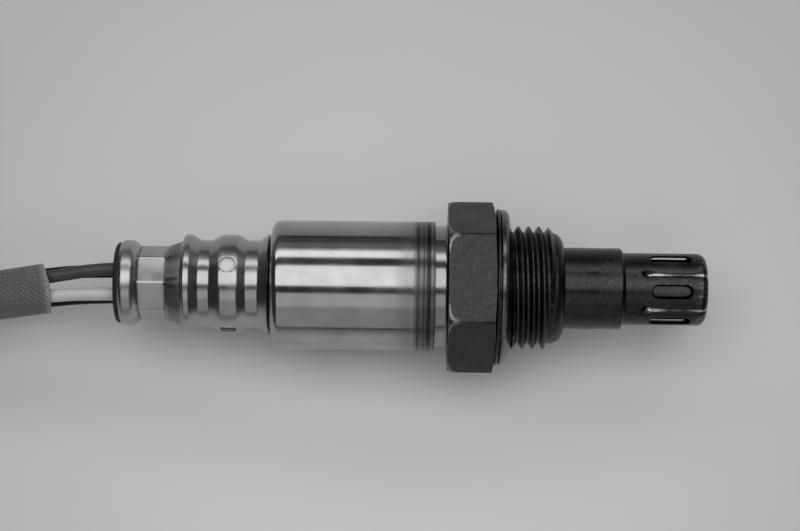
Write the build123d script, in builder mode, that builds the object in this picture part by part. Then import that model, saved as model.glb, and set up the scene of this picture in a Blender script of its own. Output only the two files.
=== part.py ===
from build123d import *
from math import cos, pi, radians, sin, tan
import os

# Four-wire oxygen sensor for an M18 exhaust boss, lying on its side with its lead coiled behind it.
# Frame: the origin is on the sensor's axis at the gasket's sealing face, +X runs along the axis
# to the nose that goes into the exhaust, +Z is up, and everything is in millimetres.

# ---------------------------------------------------------------- driving dimensions
thread_diameter = 18.0
thread_length = 5.7
hex_across_flats = 22.0
hex_rear = -9.1
hex_front = -2.2
neck_radius = 8.95
neck_rear = -14.5
housing_tip = 7.8

gasket_diameter = 23.0

nose_tube_radius = 5.94
nose_radius = 5.28
nose_shoulder = 16.27
nose_tip = 29.05
nose_wall = 0.45
slot_count = 6
slot_length = 6.1
slot_width = 2.1
slot_middle = 23.35
slot_turn = 11.8

cover_radius = 9.5
cover_rear = -34.8
cover_front = -11.0
cover_wall = 0.55
tube_radius = 5.8
tube_rear = -56.9

filter_wall = 0.45
vent_count = 4
vent_diameter = 2.3
vent_place = -41.2
vent_turn = -17.0

wire_diameter = 1.9
wire_spread = 1.9
wire_slack = 0.05

sleeve_diameter = 7.2
sleeve_bore = 6.4
sleeve_mouth = -68.3

# The floor under the sensor: the gasket's rim, the coil's tie and the plug all lie on it.
floor = -gasket_diameter / 2


def turned(angle):
    """The plane through the sensor's axis whose normal leans that many degrees from up."""
    return Plane.XY.rotated((angle, 0, 0))


def write(piece, name):
    """Labels a finished piece and writes its file."""
    piece.part.label = name
    export_step(piece.part, f"parts/{name}.step")


def ring(rear, front, inner, outer):
    """A plain turned ring about the sensor's axis, given by its two ends and two radii."""
    with BuildPart() as blank:
        with BuildSketch(Plane.YZ.offset(rear)):
            Circle(outer)
            Circle(inner, mode=Mode.SUBTRACT)
        extrude(amount=front - rear)
    return blank


os.makedirs("parts", exist_ok=True)

# ---------------------------------------------------------------- housing
# Hexagon, neck, thread blank and crimped ends, cut from one bar. The thread's helix isn't cut:
# its blank has the major diameter, with the relief for the gasket behind it.
hex_corner_radius = 12.62
hex_rear_chamfer = (0.85, 12.35)
hex_front_chamfer = (0.3, 10.6)
relief_radius = 8.1
bar_overlap = 1.0
# Past the thread: the foot of its last flank and the rounded rim, as runs past it and radii.
thread_foot = (0.4, 8.15)
rim_line = [(0.75, 8.1), (1.6, 7.67), (2.02, 6.85)]
rim_land = 6.2
seat_step = -4.0
seat_radius = 7.3
throat_radius = 5.45
crimp_lip_radius = 6.3
crimp_lip_depth = 1.4
cover_pocket_radius = 7.0
cover_pocket_rear = 4.6
cover_pocket_front = 6.3
mouth_radius = 6.0

with BuildPart() as housing:
    with BuildSketch(Plane.YZ.offset(hex_rear)):
        RegularPolygon(hex_across_flats / 2, 6, major_radius=False)
    extrude(amount=hex_front - hex_rear)
    with BuildSketch():
        with BuildLine():
            Polyline(
                (hex_rear, 0),
                (hex_rear, hex_rear_chamfer[1]),
                (hex_rear + hex_rear_chamfer[0], hex_corner_radius),
                (hex_front - hex_front_chamfer[0], hex_corner_radius),
                (hex_front, hex_front_chamfer[1]),
                (hex_front, 0),
                close=True,
            )
        make_face()
    revolve(axis=Axis.X, mode=Mode.INTERSECT)
    with BuildSketch():
        with BuildLine():
            body_line = Polyline(
                (hex_rear + bar_overlap, 0),
                (hex_rear + bar_overlap, relief_radius),
                (0, relief_radius),
                (0, thread_diameter / 2),
                (thread_length, thread_diameter / 2),
                (thread_length + thread_foot[0], thread_foot[1]),
                (thread_length + rim_line[0][0], rim_line[0][1]),
            )
            rim = ThreePointArc(*[(thread_length + run, radius) for run, radius in rim_line])
            Polyline(rim @ 1, (housing_tip, rim_land), (housing_tip, 0), body_line @ 0)
        make_face()
    revolve(axis=Axis.X)
    with BuildSketch(Plane.YZ.offset(neck_rear)):
        Circle(neck_radius)
    extrude(amount=hex_rear + bar_overlap - neck_rear)
    with BuildSketch():
        with BuildLine():
            Polyline(
                (neck_rear, 0),
                (neck_rear, crimp_lip_radius),
                (neck_rear + crimp_lip_depth, crimp_lip_radius),
                (neck_rear + crimp_lip_depth, seat_radius),
                (seat_step, seat_radius),
                (seat_step, throat_radius),
                (cover_pocket_rear, throat_radius),
                (cover_pocket_rear, cover_pocket_radius),
                (cover_pocket_front, cover_pocket_radius),
                (cover_pocket_front, mouth_radius),
                (housing_tip, mouth_radius),
                (housing_tip, 0),
                close=True,
            )
        make_face()
    revolve(axis=Axis.X, mode=Mode.SUBTRACT)
write(housing, "housing")

# ---------------------------------------------------------------- crush gasket
# One ring of folded sheet: two leaves that part at the rim, and a rounded front fold.
gasket_inner = 8.6
gasket_web = 9.2
gasket_fold_inner = 9.1
gasket_edge_round = 0.2
fold_slot_radius = 10.6
gasket_flat_edge = 9.9
gasket_curl = (-0.2, 10.65)
gasket_curl_end = (-0.66, 11.15)
# Each leaf as its rear face, its front face and its rim radius.
gasket_leaves = [
    (hex_front, hex_front + 0.46, gasket_diameter / 2),
    (-1.58, -1.12, gasket_diameter / 2 - 0.06),
    (-0.92, 0.0, gasket_diameter / 2 - 0.35),
]
fold_slot = (-0.54, -0.38)

with BuildPart() as gasket:
    with BuildSketch() as section:
        for rear, front, rim_radius in gasket_leaves:
            with Locations(((rear + front) / 2, (rim_radius + gasket_inner) / 2)):
                Rectangle(front - rear, rim_radius - gasket_inner)
        with Locations(((hex_front + fold_slot[0]) / 2, (gasket_inner + gasket_web) / 2)):
            Rectangle(fold_slot[0] - hex_front, gasket_web - gasket_inner)
        fillet(section.vertices().filter_by_position(Axis.Y, 11.0, 12.0), gasket_edge_round)
        # The front fold curls back from its sealing face towards the rim.
        with BuildLine():
            curl = ThreePointArc((0, gasket_flat_edge), gasket_curl, gasket_curl_end)
            Polyline(
                curl @ 1,
                (gasket_curl_end[0], gasket_diameter / 2),
                (0, gasket_diameter / 2),
                (0, gasket_flat_edge),
            )
        make_face(mode=Mode.SUBTRACT)
        # The front fold is a doubled sheet, so a narrow slot runs up inside it from the bore.
        with Locations(((fold_slot[0] + fold_slot[1]) / 2, (gasket_inner + fold_slot_radius) / 2)):
            Rectangle(fold_slot[1] - fold_slot[0], fold_slot_radius - gasket_inner, mode=Mode.SUBTRACT)
        with Locations((fold_slot[1] / 2, (gasket_inner + gasket_fold_inner) / 2)):
            Rectangle(-fold_slot[1], gasket_fold_inner - gasket_inner, mode=Mode.SUBTRACT)
    revolve(axis=Axis.X)
write(gasket, "gasket")

# ---------------------------------------------------------------- outer element cover
# A drawn tube with a stepped, rounded nose. Six oblong slots let the gas in, and between them six
# flutes are pressed into the wall, whose inner ridges centre the inner cover.
cover_flange_radius = 6.95
cover_flange_rear = 5.75
nose_corner = 1.75
nose_dome = 0.28
tip_flat_radius = 1.2
shoulder_run = 0.33
shoulder_round = 1.0
shoulder_foot = 0.03
flute_radius = 0.65
flute_depth = 0.42
flute_start = 18.85


def nose_form(inset):
    """The nose as a solid, drawn in from the outer surface by inset, with its flutes pressed in."""
    wide = nose_tube_radius - inset
    slim = nose_radius - inset
    tip = nose_tip - inset
    corner = nose_corner - inset
    with BuildPart() as form:
        with BuildSketch():
            with BuildLine():
                side = FilletPolyline(
                    (cover_flange_rear, wide),
                    (nose_shoulder, wide),
                    (nose_shoulder + shoulder_run, slim),
                    (tip - nose_dome, slim),
                    (tip - nose_dome, slim - corner - 0.02),
                    radius=[shoulder_round, shoulder_foot, corner],
                )
                Polyline(
                    side @ 1,
                    (tip, tip_flat_radius),
                    (tip, 0),
                    (cover_flange_rear, 0),
                    side @ 0,
                )
            make_face()
        revolve(axis=Axis.X)
        flute_axis = nose_radius - flute_depth + flute_radius
        for k in range(slot_count):
            angle = slot_turn + (k + 0.5) * 360 / slot_count
            start = turned(angle).from_local_coords((flute_start + flute_radius, 0, flute_axis))
            with BuildSketch(Plane(origin=start, z_dir=(1, 0, 0))):
                Circle(flute_radius + inset)
            extrude(amount=nose_tip - flute_start, mode=Mode.SUBTRACT)
            with Locations(start):
                Sphere(flute_radius + inset, mode=Mode.SUBTRACT)
    return form.part


nose_outside = nose_form(0)
nose_inside = nose_form(nose_wall)

with BuildPart() as outer_element_cover:
    add(nose_outside)
    with BuildSketch(Plane.YZ.offset(cover_flange_rear)):
        Circle(cover_flange_radius)
    extrude(amount=cover_pocket_front - cover_flange_rear)
    add(nose_inside, mode=Mode.SUBTRACT)
    for k in range(slot_count):
        angle = slot_turn + k * 360 / slot_count
        with BuildSketch(turned(angle).offset(nose_radius - 2 * nose_wall)):
            with Locations((slot_middle, 0)):
                SlotOverall(slot_length, slot_width)
        extrude(amount=3 * nose_wall, mode=Mode.SUBTRACT)
write(outer_element_cover, "outer_element_cover")

# ---------------------------------------------------------------- inner element cover
inner_cover_radius = 4.38
inner_cover_wall = 0.4
inner_cover_tip = 28.2
inner_cover_flange_rear = 5.3
gas_hole_count = 6
gas_hole_diameter = 1.5
gas_hole_place = 11.5
tip_hole_diameter = 2.0
inner_cover_corner = 1.1

with BuildPart() as inner_element_cover:
    with BuildSketch(Plane.YZ.offset(inner_cover_flange_rear)):
        Circle(cover_flange_radius)
    extrude(amount=cover_flange_rear - inner_cover_flange_rear)
    with BuildSketch(Plane.YZ.offset(cover_flange_rear)):
        Circle(inner_cover_radius)
    extrude(amount=inner_cover_tip - cover_flange_rear)
    fillet(inner_element_cover.edges().group_by(Axis.X)[-1], inner_cover_corner)
    with BuildSketch(Plane.YZ.offset(inner_cover_flange_rear)):
        Circle(inner_cover_radius - inner_cover_wall)
    extrude(amount=inner_cover_tip - inner_cover_wall - inner_cover_flange_rear, mode=Mode.SUBTRACT)
    for k in range(gas_hole_count):
        with BuildSketch(turned(slot_turn + k * 360 / gas_hole_count)):
            with Locations((gas_hole_place, 0)):
                Circle(gas_hole_diameter / 2)
        extrude(amount=nose_radius, mode=Mode.SUBTRACT)
    with BuildSketch(Plane.YZ.offset(inner_cover_tip)):
        Circle(tip_hole_diameter / 2)
    extrude(amount=-2 * inner_cover_wall, mode=Mode.SUBTRACT)
write(inner_element_cover, "inner_element_cover")

# ---------------------------------------------------------------- sensing element and its seals
element_width = 4.2
element_thickness = 1.6
element_rear = -27.0
element_tip = 24.5
element_slack = 0.04
element_chamfer = 0.3

with BuildPart() as sensing_element:
    with BuildSketch(Plane.YZ.offset(element_rear)):
        Rectangle(element_width, element_thickness)
    extrude(amount=element_tip - element_rear)
    chamfer(sensing_element.faces().sort_by(Axis.X)[-1].edges(), element_chamfer)
write(sensing_element, "sensing_element")


# The slot that the element passes through, as a bar to cut from each piece of the stack.
with BuildPart() as element_slot:
    with BuildSketch(Plane.YZ.offset(element_rear)):
        Rectangle(element_width + 2 * element_slack, element_thickness + 2 * element_slack)
    extrude(amount=element_tip - element_rear)

washer_thickness = 0.4
holder_flange = 2.6
holder_front = 4.5
seal_powder_length = 3.0
crimp_sleeve_length = 2.7
crimp_ring_thickness = 0.4
stack_radius = 7.25

holder_rear = seat_step - washer_thickness - holder_flange
powder_rear = holder_rear - seal_powder_length
crimp_sleeve_rear = powder_rear - crimp_sleeve_length

packing_washer = ring(seat_step - washer_thickness, seat_step, throat_radius, stack_radius)
write(packing_washer, "packing_washer")

with BuildPart() as front_insulator:
    with BuildSketch(Plane.YZ.offset(holder_rear)):
        Circle(stack_radius)
    extrude(amount=holder_flange)
    with BuildSketch(Plane.YZ.offset(holder_rear + holder_flange)):
        Circle(throat_radius - 0.05)
    extrude(amount=holder_front - holder_rear - holder_flange)
    chamfer(front_insulator.faces().sort_by(Axis.X)[-1].edges(), 0.6)
    add(element_slot.part, mode=Mode.SUBTRACT)
write(front_insulator, "front_insulator")

with BuildPart() as seal_powder:
    with BuildSketch(Plane.YZ.offset(powder_rear)):
        Circle(stack_radius)
    extrude(amount=seal_powder_length)
    add(element_slot.part, mode=Mode.SUBTRACT)
write(seal_powder, "seal_powder")

with BuildPart() as crimp_insulator:
    with BuildSketch(Plane.YZ.offset(crimp_sleeve_rear)):
        Circle(stack_radius)
    extrude(amount=crimp_sleeve_length)
    add(element_slot.part, mode=Mode.SUBTRACT)
write(crimp_insulator, "crimp_insulator")

crimp_ring = ring(neck_rear + crimp_lip_depth, crimp_sleeve_rear, 5.6, stack_radius)
write(crimp_ring, "crimp_ring")

# ---------------------------------------------------------------- main cover
# One deep-drawn sheet: the wide can over the neck, and the rear tube that is crimped to eight
# flats round the grommet. Its outer line is given as place, radius and bend.
crimp_rear = -53.9
crimp_front = -50.1
crimp_corner_radius = 5.45
crimp_turn = 6.3
can_bend = 1.1
outer_line = [
    (cover_front, cover_radius, 0),
    (cover_rear, cover_radius, can_bend),
    (cover_rear, tube_radius, 0.6),
    (-46.6, tube_radius, 1.5),
    (-47.75, 6.13, 0.8),
    (-48.4, 6.13, 1.0),
    (crimp_front + 0.35, crimp_corner_radius, 0.8),
    (crimp_rear - 0.25, crimp_corner_radius, 0.8),
    (-55.2, 6.22, 1.6),
    (tube_rear + 0.45, 6.3, 0.35),
    (tube_rear, 5.75, 0),
]

with BuildPart() as main_cover:
    with BuildSketch():
        with BuildLine() as sheet_line:
            FilletPolyline(
                *[(x, r) for x, r, bend in outer_line],
                radius=[bend for x, r, bend in outer_line[1:-1]],
            )
            offset(amount=cover_wall, side=Side.LEFT, closed=True)
        make_face()
    revolve(axis=Axis.X)
    with BuildSketch(Plane.YZ.offset(crimp_rear)):
        Circle(crimp_corner_radius + 1)
    extrude(amount=crimp_front - crimp_rear, mode=Mode.SUBTRACT)
    with BuildSketch(Plane.YZ.offset(crimp_rear)):
        RegularPolygon(crimp_corner_radius, 8, rotation=90 + crimp_turn)
        RegularPolygon(crimp_corner_radius - cover_wall, 8, rotation=90 + crimp_turn, mode=Mode.SUBTRACT)
    extrude(amount=crimp_front - crimp_rear)
write(main_cover, "main_cover")

# ---------------------------------------------------------------- rear insulator and disc spring
rear_insulator_front = -17.5
rear_insulator_rear = -31.3
rear_insulator_radius = 7.9
contact_room = 5.0
rear_wall = 2.0
barrel_place_y = 1.6
barrel_place_z = 1.45
barrel_radius = 1.3
barrel_slack = 0.05
insulator_chamfer = 0.5

with BuildPart() as rear_insulator:
    with BuildSketch(Plane.YZ.offset(rear_insulator_rear)):
        Circle(rear_insulator_radius)
    extrude(amount=rear_insulator_front - rear_insulator_rear)
    chamfer(rear_insulator.edges().filter_by(GeomType.CIRCLE), insulator_chamfer)
    with BuildSketch(Plane.YZ.offset(rear_insulator_rear + rear_wall)):
        Rectangle(contact_room, contact_room)
    extrude(amount=rear_insulator_front - rear_insulator_rear, mode=Mode.SUBTRACT)
    with BuildSketch(Plane.YZ.offset(rear_insulator_rear)):
        with GridLocations(2 * barrel_place_y, 2 * barrel_place_z, 2, 2):
            Circle(barrel_radius + barrel_slack)
    extrude(amount=rear_wall, mode=Mode.SUBTRACT)
write(rear_insulator, "rear_insulator")

spring_wall = 0.4
spring_front_radius = 7.3
spring_rear_radius = 6.1
with BuildPart() as disc_spring:
    with BuildSketch():
        with BuildLine():
            Polyline(
                (rear_insulator_rear, spring_front_radius),
                (rear_insulator_rear, spring_front_radius - spring_wall),
                (cover_rear + cover_wall, spring_rear_radius),
                (cover_rear + cover_wall, spring_rear_radius + spring_wall),
                close=True,
            )
        make_face()
    revolve(axis=Axis.X)
write(disc_spring, "disc_spring")

# ---------------------------------------------------------------- contacts
# Four sprung strips that bear on the element's pads, each ending in the barrel round its wire.
strip_width = 1.5
strip_wall = 0.3
barrel_rear = -38.5
barrel_front = -32.0
barrel_wall = 0.35
barrel_floor = 0.4
strip_share = 0.8
strip_line = [
    (barrel_front + 0.1, barrel_place_z),
    (-29.3, barrel_place_z),
    (-26.5, 2.2),
    (-22.5, element_thickness / 2 + strip_wall / 2 + 0.02),
    (-19.0, 1.8),
]

for number, (side_y, side_z) in enumerate([(1, 1), (-1, 1), (1, -1), (-1, -1)], start=1):
    with BuildPart() as contact:
        with BuildSketch(Plane.XZ.offset(-side_y * barrel_place_y * strip_share)):
            with BuildLine():
                FilletPolyline(*[(x, z * side_z) for x, z in strip_line], radius=1.0)
                offset(amount=strip_wall / 2, side=Side.BOTH)
            make_face()
        extrude(amount=strip_width / 2, both=True)
        with BuildSketch(Plane.YZ.offset(barrel_rear)):
            with Locations((side_y * barrel_place_y, side_z * barrel_place_z)):
                Circle(wire_diameter / 2 + barrel_wall)
                Circle(wire_diameter / 2 + wire_slack, mode=Mode.SUBTRACT)
        extrude(amount=barrel_front - barrel_rear)
        with BuildSketch(Plane.YZ.offset(barrel_front)):
            with Locations((side_y * barrel_place_y, side_z * barrel_place_z)):
                Circle(wire_diameter / 2 + barrel_wall)
        extrude(amount=barrel_floor)
    write(contact, f"contact_{number}")

# ---------------------------------------------------------------- vent filter and its cover
# The cover is rolled in at the rear, crimped twice over the filter, bulged between the crimps
# where its vents are, and flared at the front. Again place, radius and bend.
filter_line = [
    (-47.92, 6.2, 0),
    (-47.55, 7.3, 0.55),
    (-46.6, 7.22, 0.5),
    (-45.2, 6.4, 0.55),
    (-43.7, 6.4, 0.6),
    (-42.1, 7.22, 1.9),
    (-39.9, 7.22, 1.9),
    (-38.0, 6.45, 0.6),
    (-36.65, 6.45, 0.5),
    (-35.3, 7.4, 0),
]

with BuildPart() as filter_cover:
    with BuildSketch():
        with BuildLine():
            FilletPolyline(
                *[(x, r) for x, r, bend in filter_line],
                radius=[bend for x, r, bend in filter_line[1:-1]],
            )
            offset(amount=filter_wall, side=Side.RIGHT, closed=True)
        make_face()
    revolve(axis=Axis.X)
    for k in range(vent_count):
        with BuildSketch(turned(vent_turn + k * 360 / vent_count)):
            with Locations((vent_place, 0)):
                Circle(vent_diameter / 2)
        extrude(amount=cover_radius, mode=Mode.SUBTRACT)
write(filter_cover, "filter_cover")

filter_clearance = 0.14
filter_rear = -46.4
filter_front = -36.4
filter_inset = filter_wall + filter_clearance
filter_places = [(x, r - filter_inset) for x, r, bend in filter_line[3:8]]
with BuildPart() as vent_filter:
    with BuildSketch():
        with BuildLine():
            waist = FilletPolyline(
                (filter_rear, tube_radius + 0.1),
                *filter_places,
                (filter_front, filter_places[-1][1]),
                radius=[0.5, 1.0, 1.4, 1.4, 1.0],
            )
            Polyline(waist @ 1, (filter_front, tube_radius), (filter_rear, tube_radius), waist @ 0)
        make_face()
    revolve(axis=Axis.X)
write(vent_filter, "vent_filter")

# ---------------------------------------------------------------- grommet
# A rubber bung that fills the rear tube, squeezed by the crimp, with a rim over the tube's end.
grommet_front = -48.6
grommet_rear = -57.6
grommet_rim_radius = 5.9
grommet_slack = 0.17
grommet_rim_round = 0.45
grommet_front_radius = 5.3
# The end inside the tube's rolled mouth, as runs in from the mouth and radii.
grommet_heel = [(1.0, 5.4), (0.4, 5.15), (0.0, 5.15)]
waist_radius = crimp_corner_radius - cover_wall - 0.03
bore_line = [(x, r - cover_wall - grommet_slack) for x, r, bend in outer_line[6:9]]

with BuildPart() as grommet:
    with BuildSketch():
        with BuildLine():
            Polyline(
                (grommet_front, 0),
                (grommet_front, grommet_front_radius),
                *bore_line,
                *[(tube_rear + run, radius) for run, radius in grommet_heel],
                (tube_rear, 0),
                close=True,
            )
        make_face()
    revolve(axis=Axis.X)
    with BuildSketch(Plane.YZ.offset(tube_rear)):
        Circle(grommet_rim_radius)
    extrude(amount=grommet_rear - tube_rear)
    fillet(grommet.faces().sort_by(Axis.X)[0].edges(), grommet_rim_round)
    with BuildSketch(Plane.YZ.offset(crimp_rear)):
        Circle(crimp_corner_radius)
        RegularPolygon(waist_radius, 8, rotation=90 + crimp_turn, mode=Mode.SUBTRACT)
    extrude(amount=crimp_front - crimp_rear, mode=Mode.SUBTRACT)
    with BuildSketch(Plane.YZ.offset(grommet_rear)):
        with GridLocations(2 * wire_spread, 2 * wire_spread, 2, 2):
            Circle(wire_diameter / 2 + wire_slack)
    extrude(amount=grommet_front - grommet_rear, mode=Mode.SUBTRACT)
write(grommet, "grommet")

# ---------------------------------------------------------------- cord routes
# Each route is a hand-set list of points joined by straight runs. Each arc is as large as its
# two runs allow: 0.45 of the shorter run over the tangent of half the turn.
ARC_SHARE = 0.45


def arc_radii(points):
    """The largest arc at each inner point of a route, as its runs allow."""
    corners = [Vector(*point) for point in points]
    radii = []
    for before, corner, after in zip(corners, corners[1:], corners[2:]):
        arriving = corner - before
        leaving = after - corner
        half_turn = radians(arriving.get_angle(leaving)) / 2
        radii.append(ARC_SHARE * min(arriving.length, leaving.length) / tan(half_turn))
    return radii


def lay_tube(name, points, outer):
    """A tube along a route; prints its arcs and sets its volume against section times length."""
    radii = arc_radii(points)
    with BuildPart() as tube:
        with BuildLine():
            path = FilletPolyline(*points, radius=radii)
        with BuildSketch(Plane(origin=path @ 0, z_dir=path % 0)):
            Circle(outer / 2)
        sweep(path=path)
    expected = pi * outer**2 / 4 * path.length
    print(name, "length", round(path.length, 1), "radii", [round(r, 1) for r in radii])
    print(name, "volume over section times length", round(tube.part.volume / expected, 3))
    return tube


tie_wall = 1.0
tie_slack = 0.1
coil_height = floor + tie_wall + tie_slack + sleeve_diameter / 2
mouth_centre = Vector(sleeve_mouth, -0.95, -0.6)
coil_start = (-114.5, -7.4, coil_height)
lead_route = [
    tuple(mouth_centre),
    (-83.0, -3.02, -2.2),
    (-98.66, -5.174, coil_height),
    coil_start,
]
mouth_direction = (Vector(*lead_route[1]) - mouth_centre).normalized()

# ---------------------------------------------------------------- wires into the sleeve
# Each wire runs from its contact through the grommet, and into the mouth of the sleeve.
wire_end_inside = 11.0
# Name, corner of the grommet, and place across the sleeve's mouth, towards +Y and +Z.
lead_wires = [
    ("lead_wire_1", (1, 1), (1.55, 1.45)),
    ("lead_wire_2", (-1, 1), (-1.25, 1.6)),
    ("lead_wire_3", (1, -1), (1.9, -1.0)),
    ("lead_wire_4", (-1, -1), (-1.5, -1.45)),
]

for name, (side_y, side_z), (mouth_y, mouth_z) in lead_wires:
    across = Vector(0, mouth_y, mouth_z)
    points = [
        (barrel_rear + 0.5, side_y * barrel_place_y, side_z * barrel_place_z),
        (barrel_rear - 7.5, side_y * wire_spread, side_z * wire_spread),
        (grommet_rear - 1.5, side_y * wire_spread, side_z * wire_spread),
        tuple(mouth_centre + across + Vector(1.0, 0.1, 0.05)),
        tuple(mouth_centre + across * 0.93 + wire_end_inside * mouth_direction),
    ]
    wire = lay_tube(name, points, wire_diameter)
    write(wire, name)

# ---------------------------------------------------------------- braided sleeve
# It leaves the wires almost level, comes down to the floor, and winds into one flat coil whose
# end lies beside its start. The coil is a volute of quarter turns that close in evenly.
sleeve_heading = 188.0
coil_pitch = 7.4
coil_first_radius = 39.6
coil_last_turn = 28.0
mouth_depth = 12.0

sleeve_lead = lay_tube("sleeve_lead", lead_route, sleeve_diameter)
with BuildPart() as sleeve_lead_open:
    add(sleeve_lead.part)
    with BuildSketch(Plane(origin=mouth_centre, z_dir=mouth_direction)):
        Circle(sleeve_bore / 2)
    extrude(amount=mouth_depth, mode=Mode.SUBTRACT)
write(sleeve_lead_open, "sleeve_lead")

coil_heading = Vector(cos(radians(sleeve_heading)), sin(radians(sleeve_heading)), 0)
with BuildPart() as sleeve_coil:
    with BuildLine(Plane.XY.offset(coil_height)) as volute:
        start = (coil_start[0], coil_start[1])
        heading = coil_heading
        for quarter in range(4):
            turn = JernArc(
                start=start,
                tangent=heading,
                radius=coil_first_radius - quarter * coil_pitch / 4,
                arc_size=-90,
            )
            start = turn @ 1
            heading = turn % 1
        JernArc(
            start=start,
            tangent=heading,
            radius=coil_first_radius - coil_pitch,
            arc_size=-coil_last_turn,
        )
    turns = volute.wire()
    with BuildSketch(Plane(origin=coil_start, z_dir=coil_heading)):
        Circle(sleeve_diameter / 2)
    sweep(path=turns)
coil_section = pi * sleeve_diameter**2 / 4
print("sleeve_coil length", round(turns.length, 1))
print("sleeve_coil volume", round(sleeve_coil.part.volume / coil_section / turns.length, 3))
write(sleeve_coil, "sleeve_coil")

# ---------------------------------------------------------------- cable tie round the coil
tie_width = 3.6
tie_angle = sleeve_heading + 90 - coil_last_turn / 2
coil_centre = Vector(*coil_start) + coil_first_radius * Vector(
    cos(radians(sleeve_heading - 90)), sin(radians(sleeve_heading - 90)), 0
)
tie_out = Vector(cos(radians(tie_angle)), sin(radians(tie_angle)), 0)
tie_along = tie_out.cross(Vector(0, 0, 1))
tie_middle = coil_centre + (coil_first_radius - coil_pitch / 2) * tie_out
tie_plane = Plane(origin=tie_middle, x_dir=tie_out, z_dir=tie_along)
tie_inner = sleeve_diameter + 2 * tie_slack
tie_head = (4.6, 3.2, 5.4)
tie_head_round = 0.6
tie_head_place = (-1.0, 1.2)
tie_tail = (7.0, 0.9, 3.0)
tie_tail_place = (4.3, 1.3)

with BuildPart() as coil_tie:
    with BuildSketch(tie_plane):
        SlotCenterToCenter(coil_pitch, tie_inner + 2 * tie_wall)
        SlotCenterToCenter(coil_pitch, tie_inner, mode=Mode.SUBTRACT)
    extrude(amount=tie_width / 2, both=True)
    head_height = tie_inner / 2 + tie_wall
    with BuildSketch(tie_plane):
        with Locations((tie_head_place[0], head_height + tie_head_place[1])):
            RectangleRounded(tie_head[0], tie_head[1], tie_head_round)
    extrude(amount=tie_head[2] / 2, both=True)
    with BuildSketch(tie_plane):
        with Locations((tie_tail_place[0], head_height + tie_tail_place[1])):
            Rectangle(tie_tail[0], tie_tail[1])
    extrude(amount=tie_tail[2] / 2, both=True)
write(coil_tie, "coil_tie")

# ---------------------------------------------------------------- plug
# A four-way sealed plug that lies on the floor inside the coil: a rear block with the wire
# entries, a tower with the contact pockets, a ribbed seal round it and a lock lever on top.
plug_rear = -125.2
plug_y = 30.2
block_length = 15.0
block_width = 19.0
block_height = 14.0
tower_length = 15.5
tower_width = 15.6
tower_height = 10.4
pocket_size = 2.7
pocket_pitch_y = 6.0
pocket_pitch_z = 5.0
pocket_into_block = 5.0
block_round = 2.0
block_chamfer = 0.7
tower_round = 1.5
tower_chamfer = 0.6
rib_count = 4
rib_first = 3.0
rib_pitch = 2.2
rib_length = 1.1
rib_size = (1.2, 9.0)
rib_round = 0.5
lever_width = 6.4
catch_width = 4.4
# The lever's and the catch's corners: runs back from the tower's front, or on from the block's
# rear, with heights over the plug's axis.
lever_front = [(1.5, 7.3), (4.2, 6.3)]
lever_pad = [(9.5, 8.9), (7.5, 10.3), (5.6, 10.3), (5.6, 9.0), (9.5, 7.9)]
catch_line = [(9.0, 7.0), (9.0, 8.9), (5.5, 7.0)]
lever_foot = 4.8
entry_radius = 2.0
entry_depth = 6.0
wire_hole_slack = 0.1
retainer_slot = (2.4, 8.0)
retainer_place = 11.2
retainer_size = (3.0, 7.9, 2.3)
retainer_slack = 0.05
retainer_inset = 0.85
retainer_chamfer = 0.4
seal_rib = 0.9
seal_rib_count = 3
seal_rib_first = 0.1
seal_rib_pitch = 1.2
seal_rib_length = 0.7
seal_band = 0.5
seal_length = 3.4
contact_recess = 1.6
contact_slack = 0.1
contact_mouth = (1.7, 1.0)
contact_depth = 9.0
wire_seal_stand = 0.8
wire_seal_length = 5.8
plug_axis = floor + block_height / 2
plug_block_front = plug_rear + block_length
plug_front = plug_block_front + tower_length


def across_plug(place):
    """The plane square to the plug at a place along it, with its width along local X."""
    return Plane(origin=(place, plug_y, plug_axis), x_dir=(0, 1, 0), z_dir=(1, 0, 0))


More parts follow.
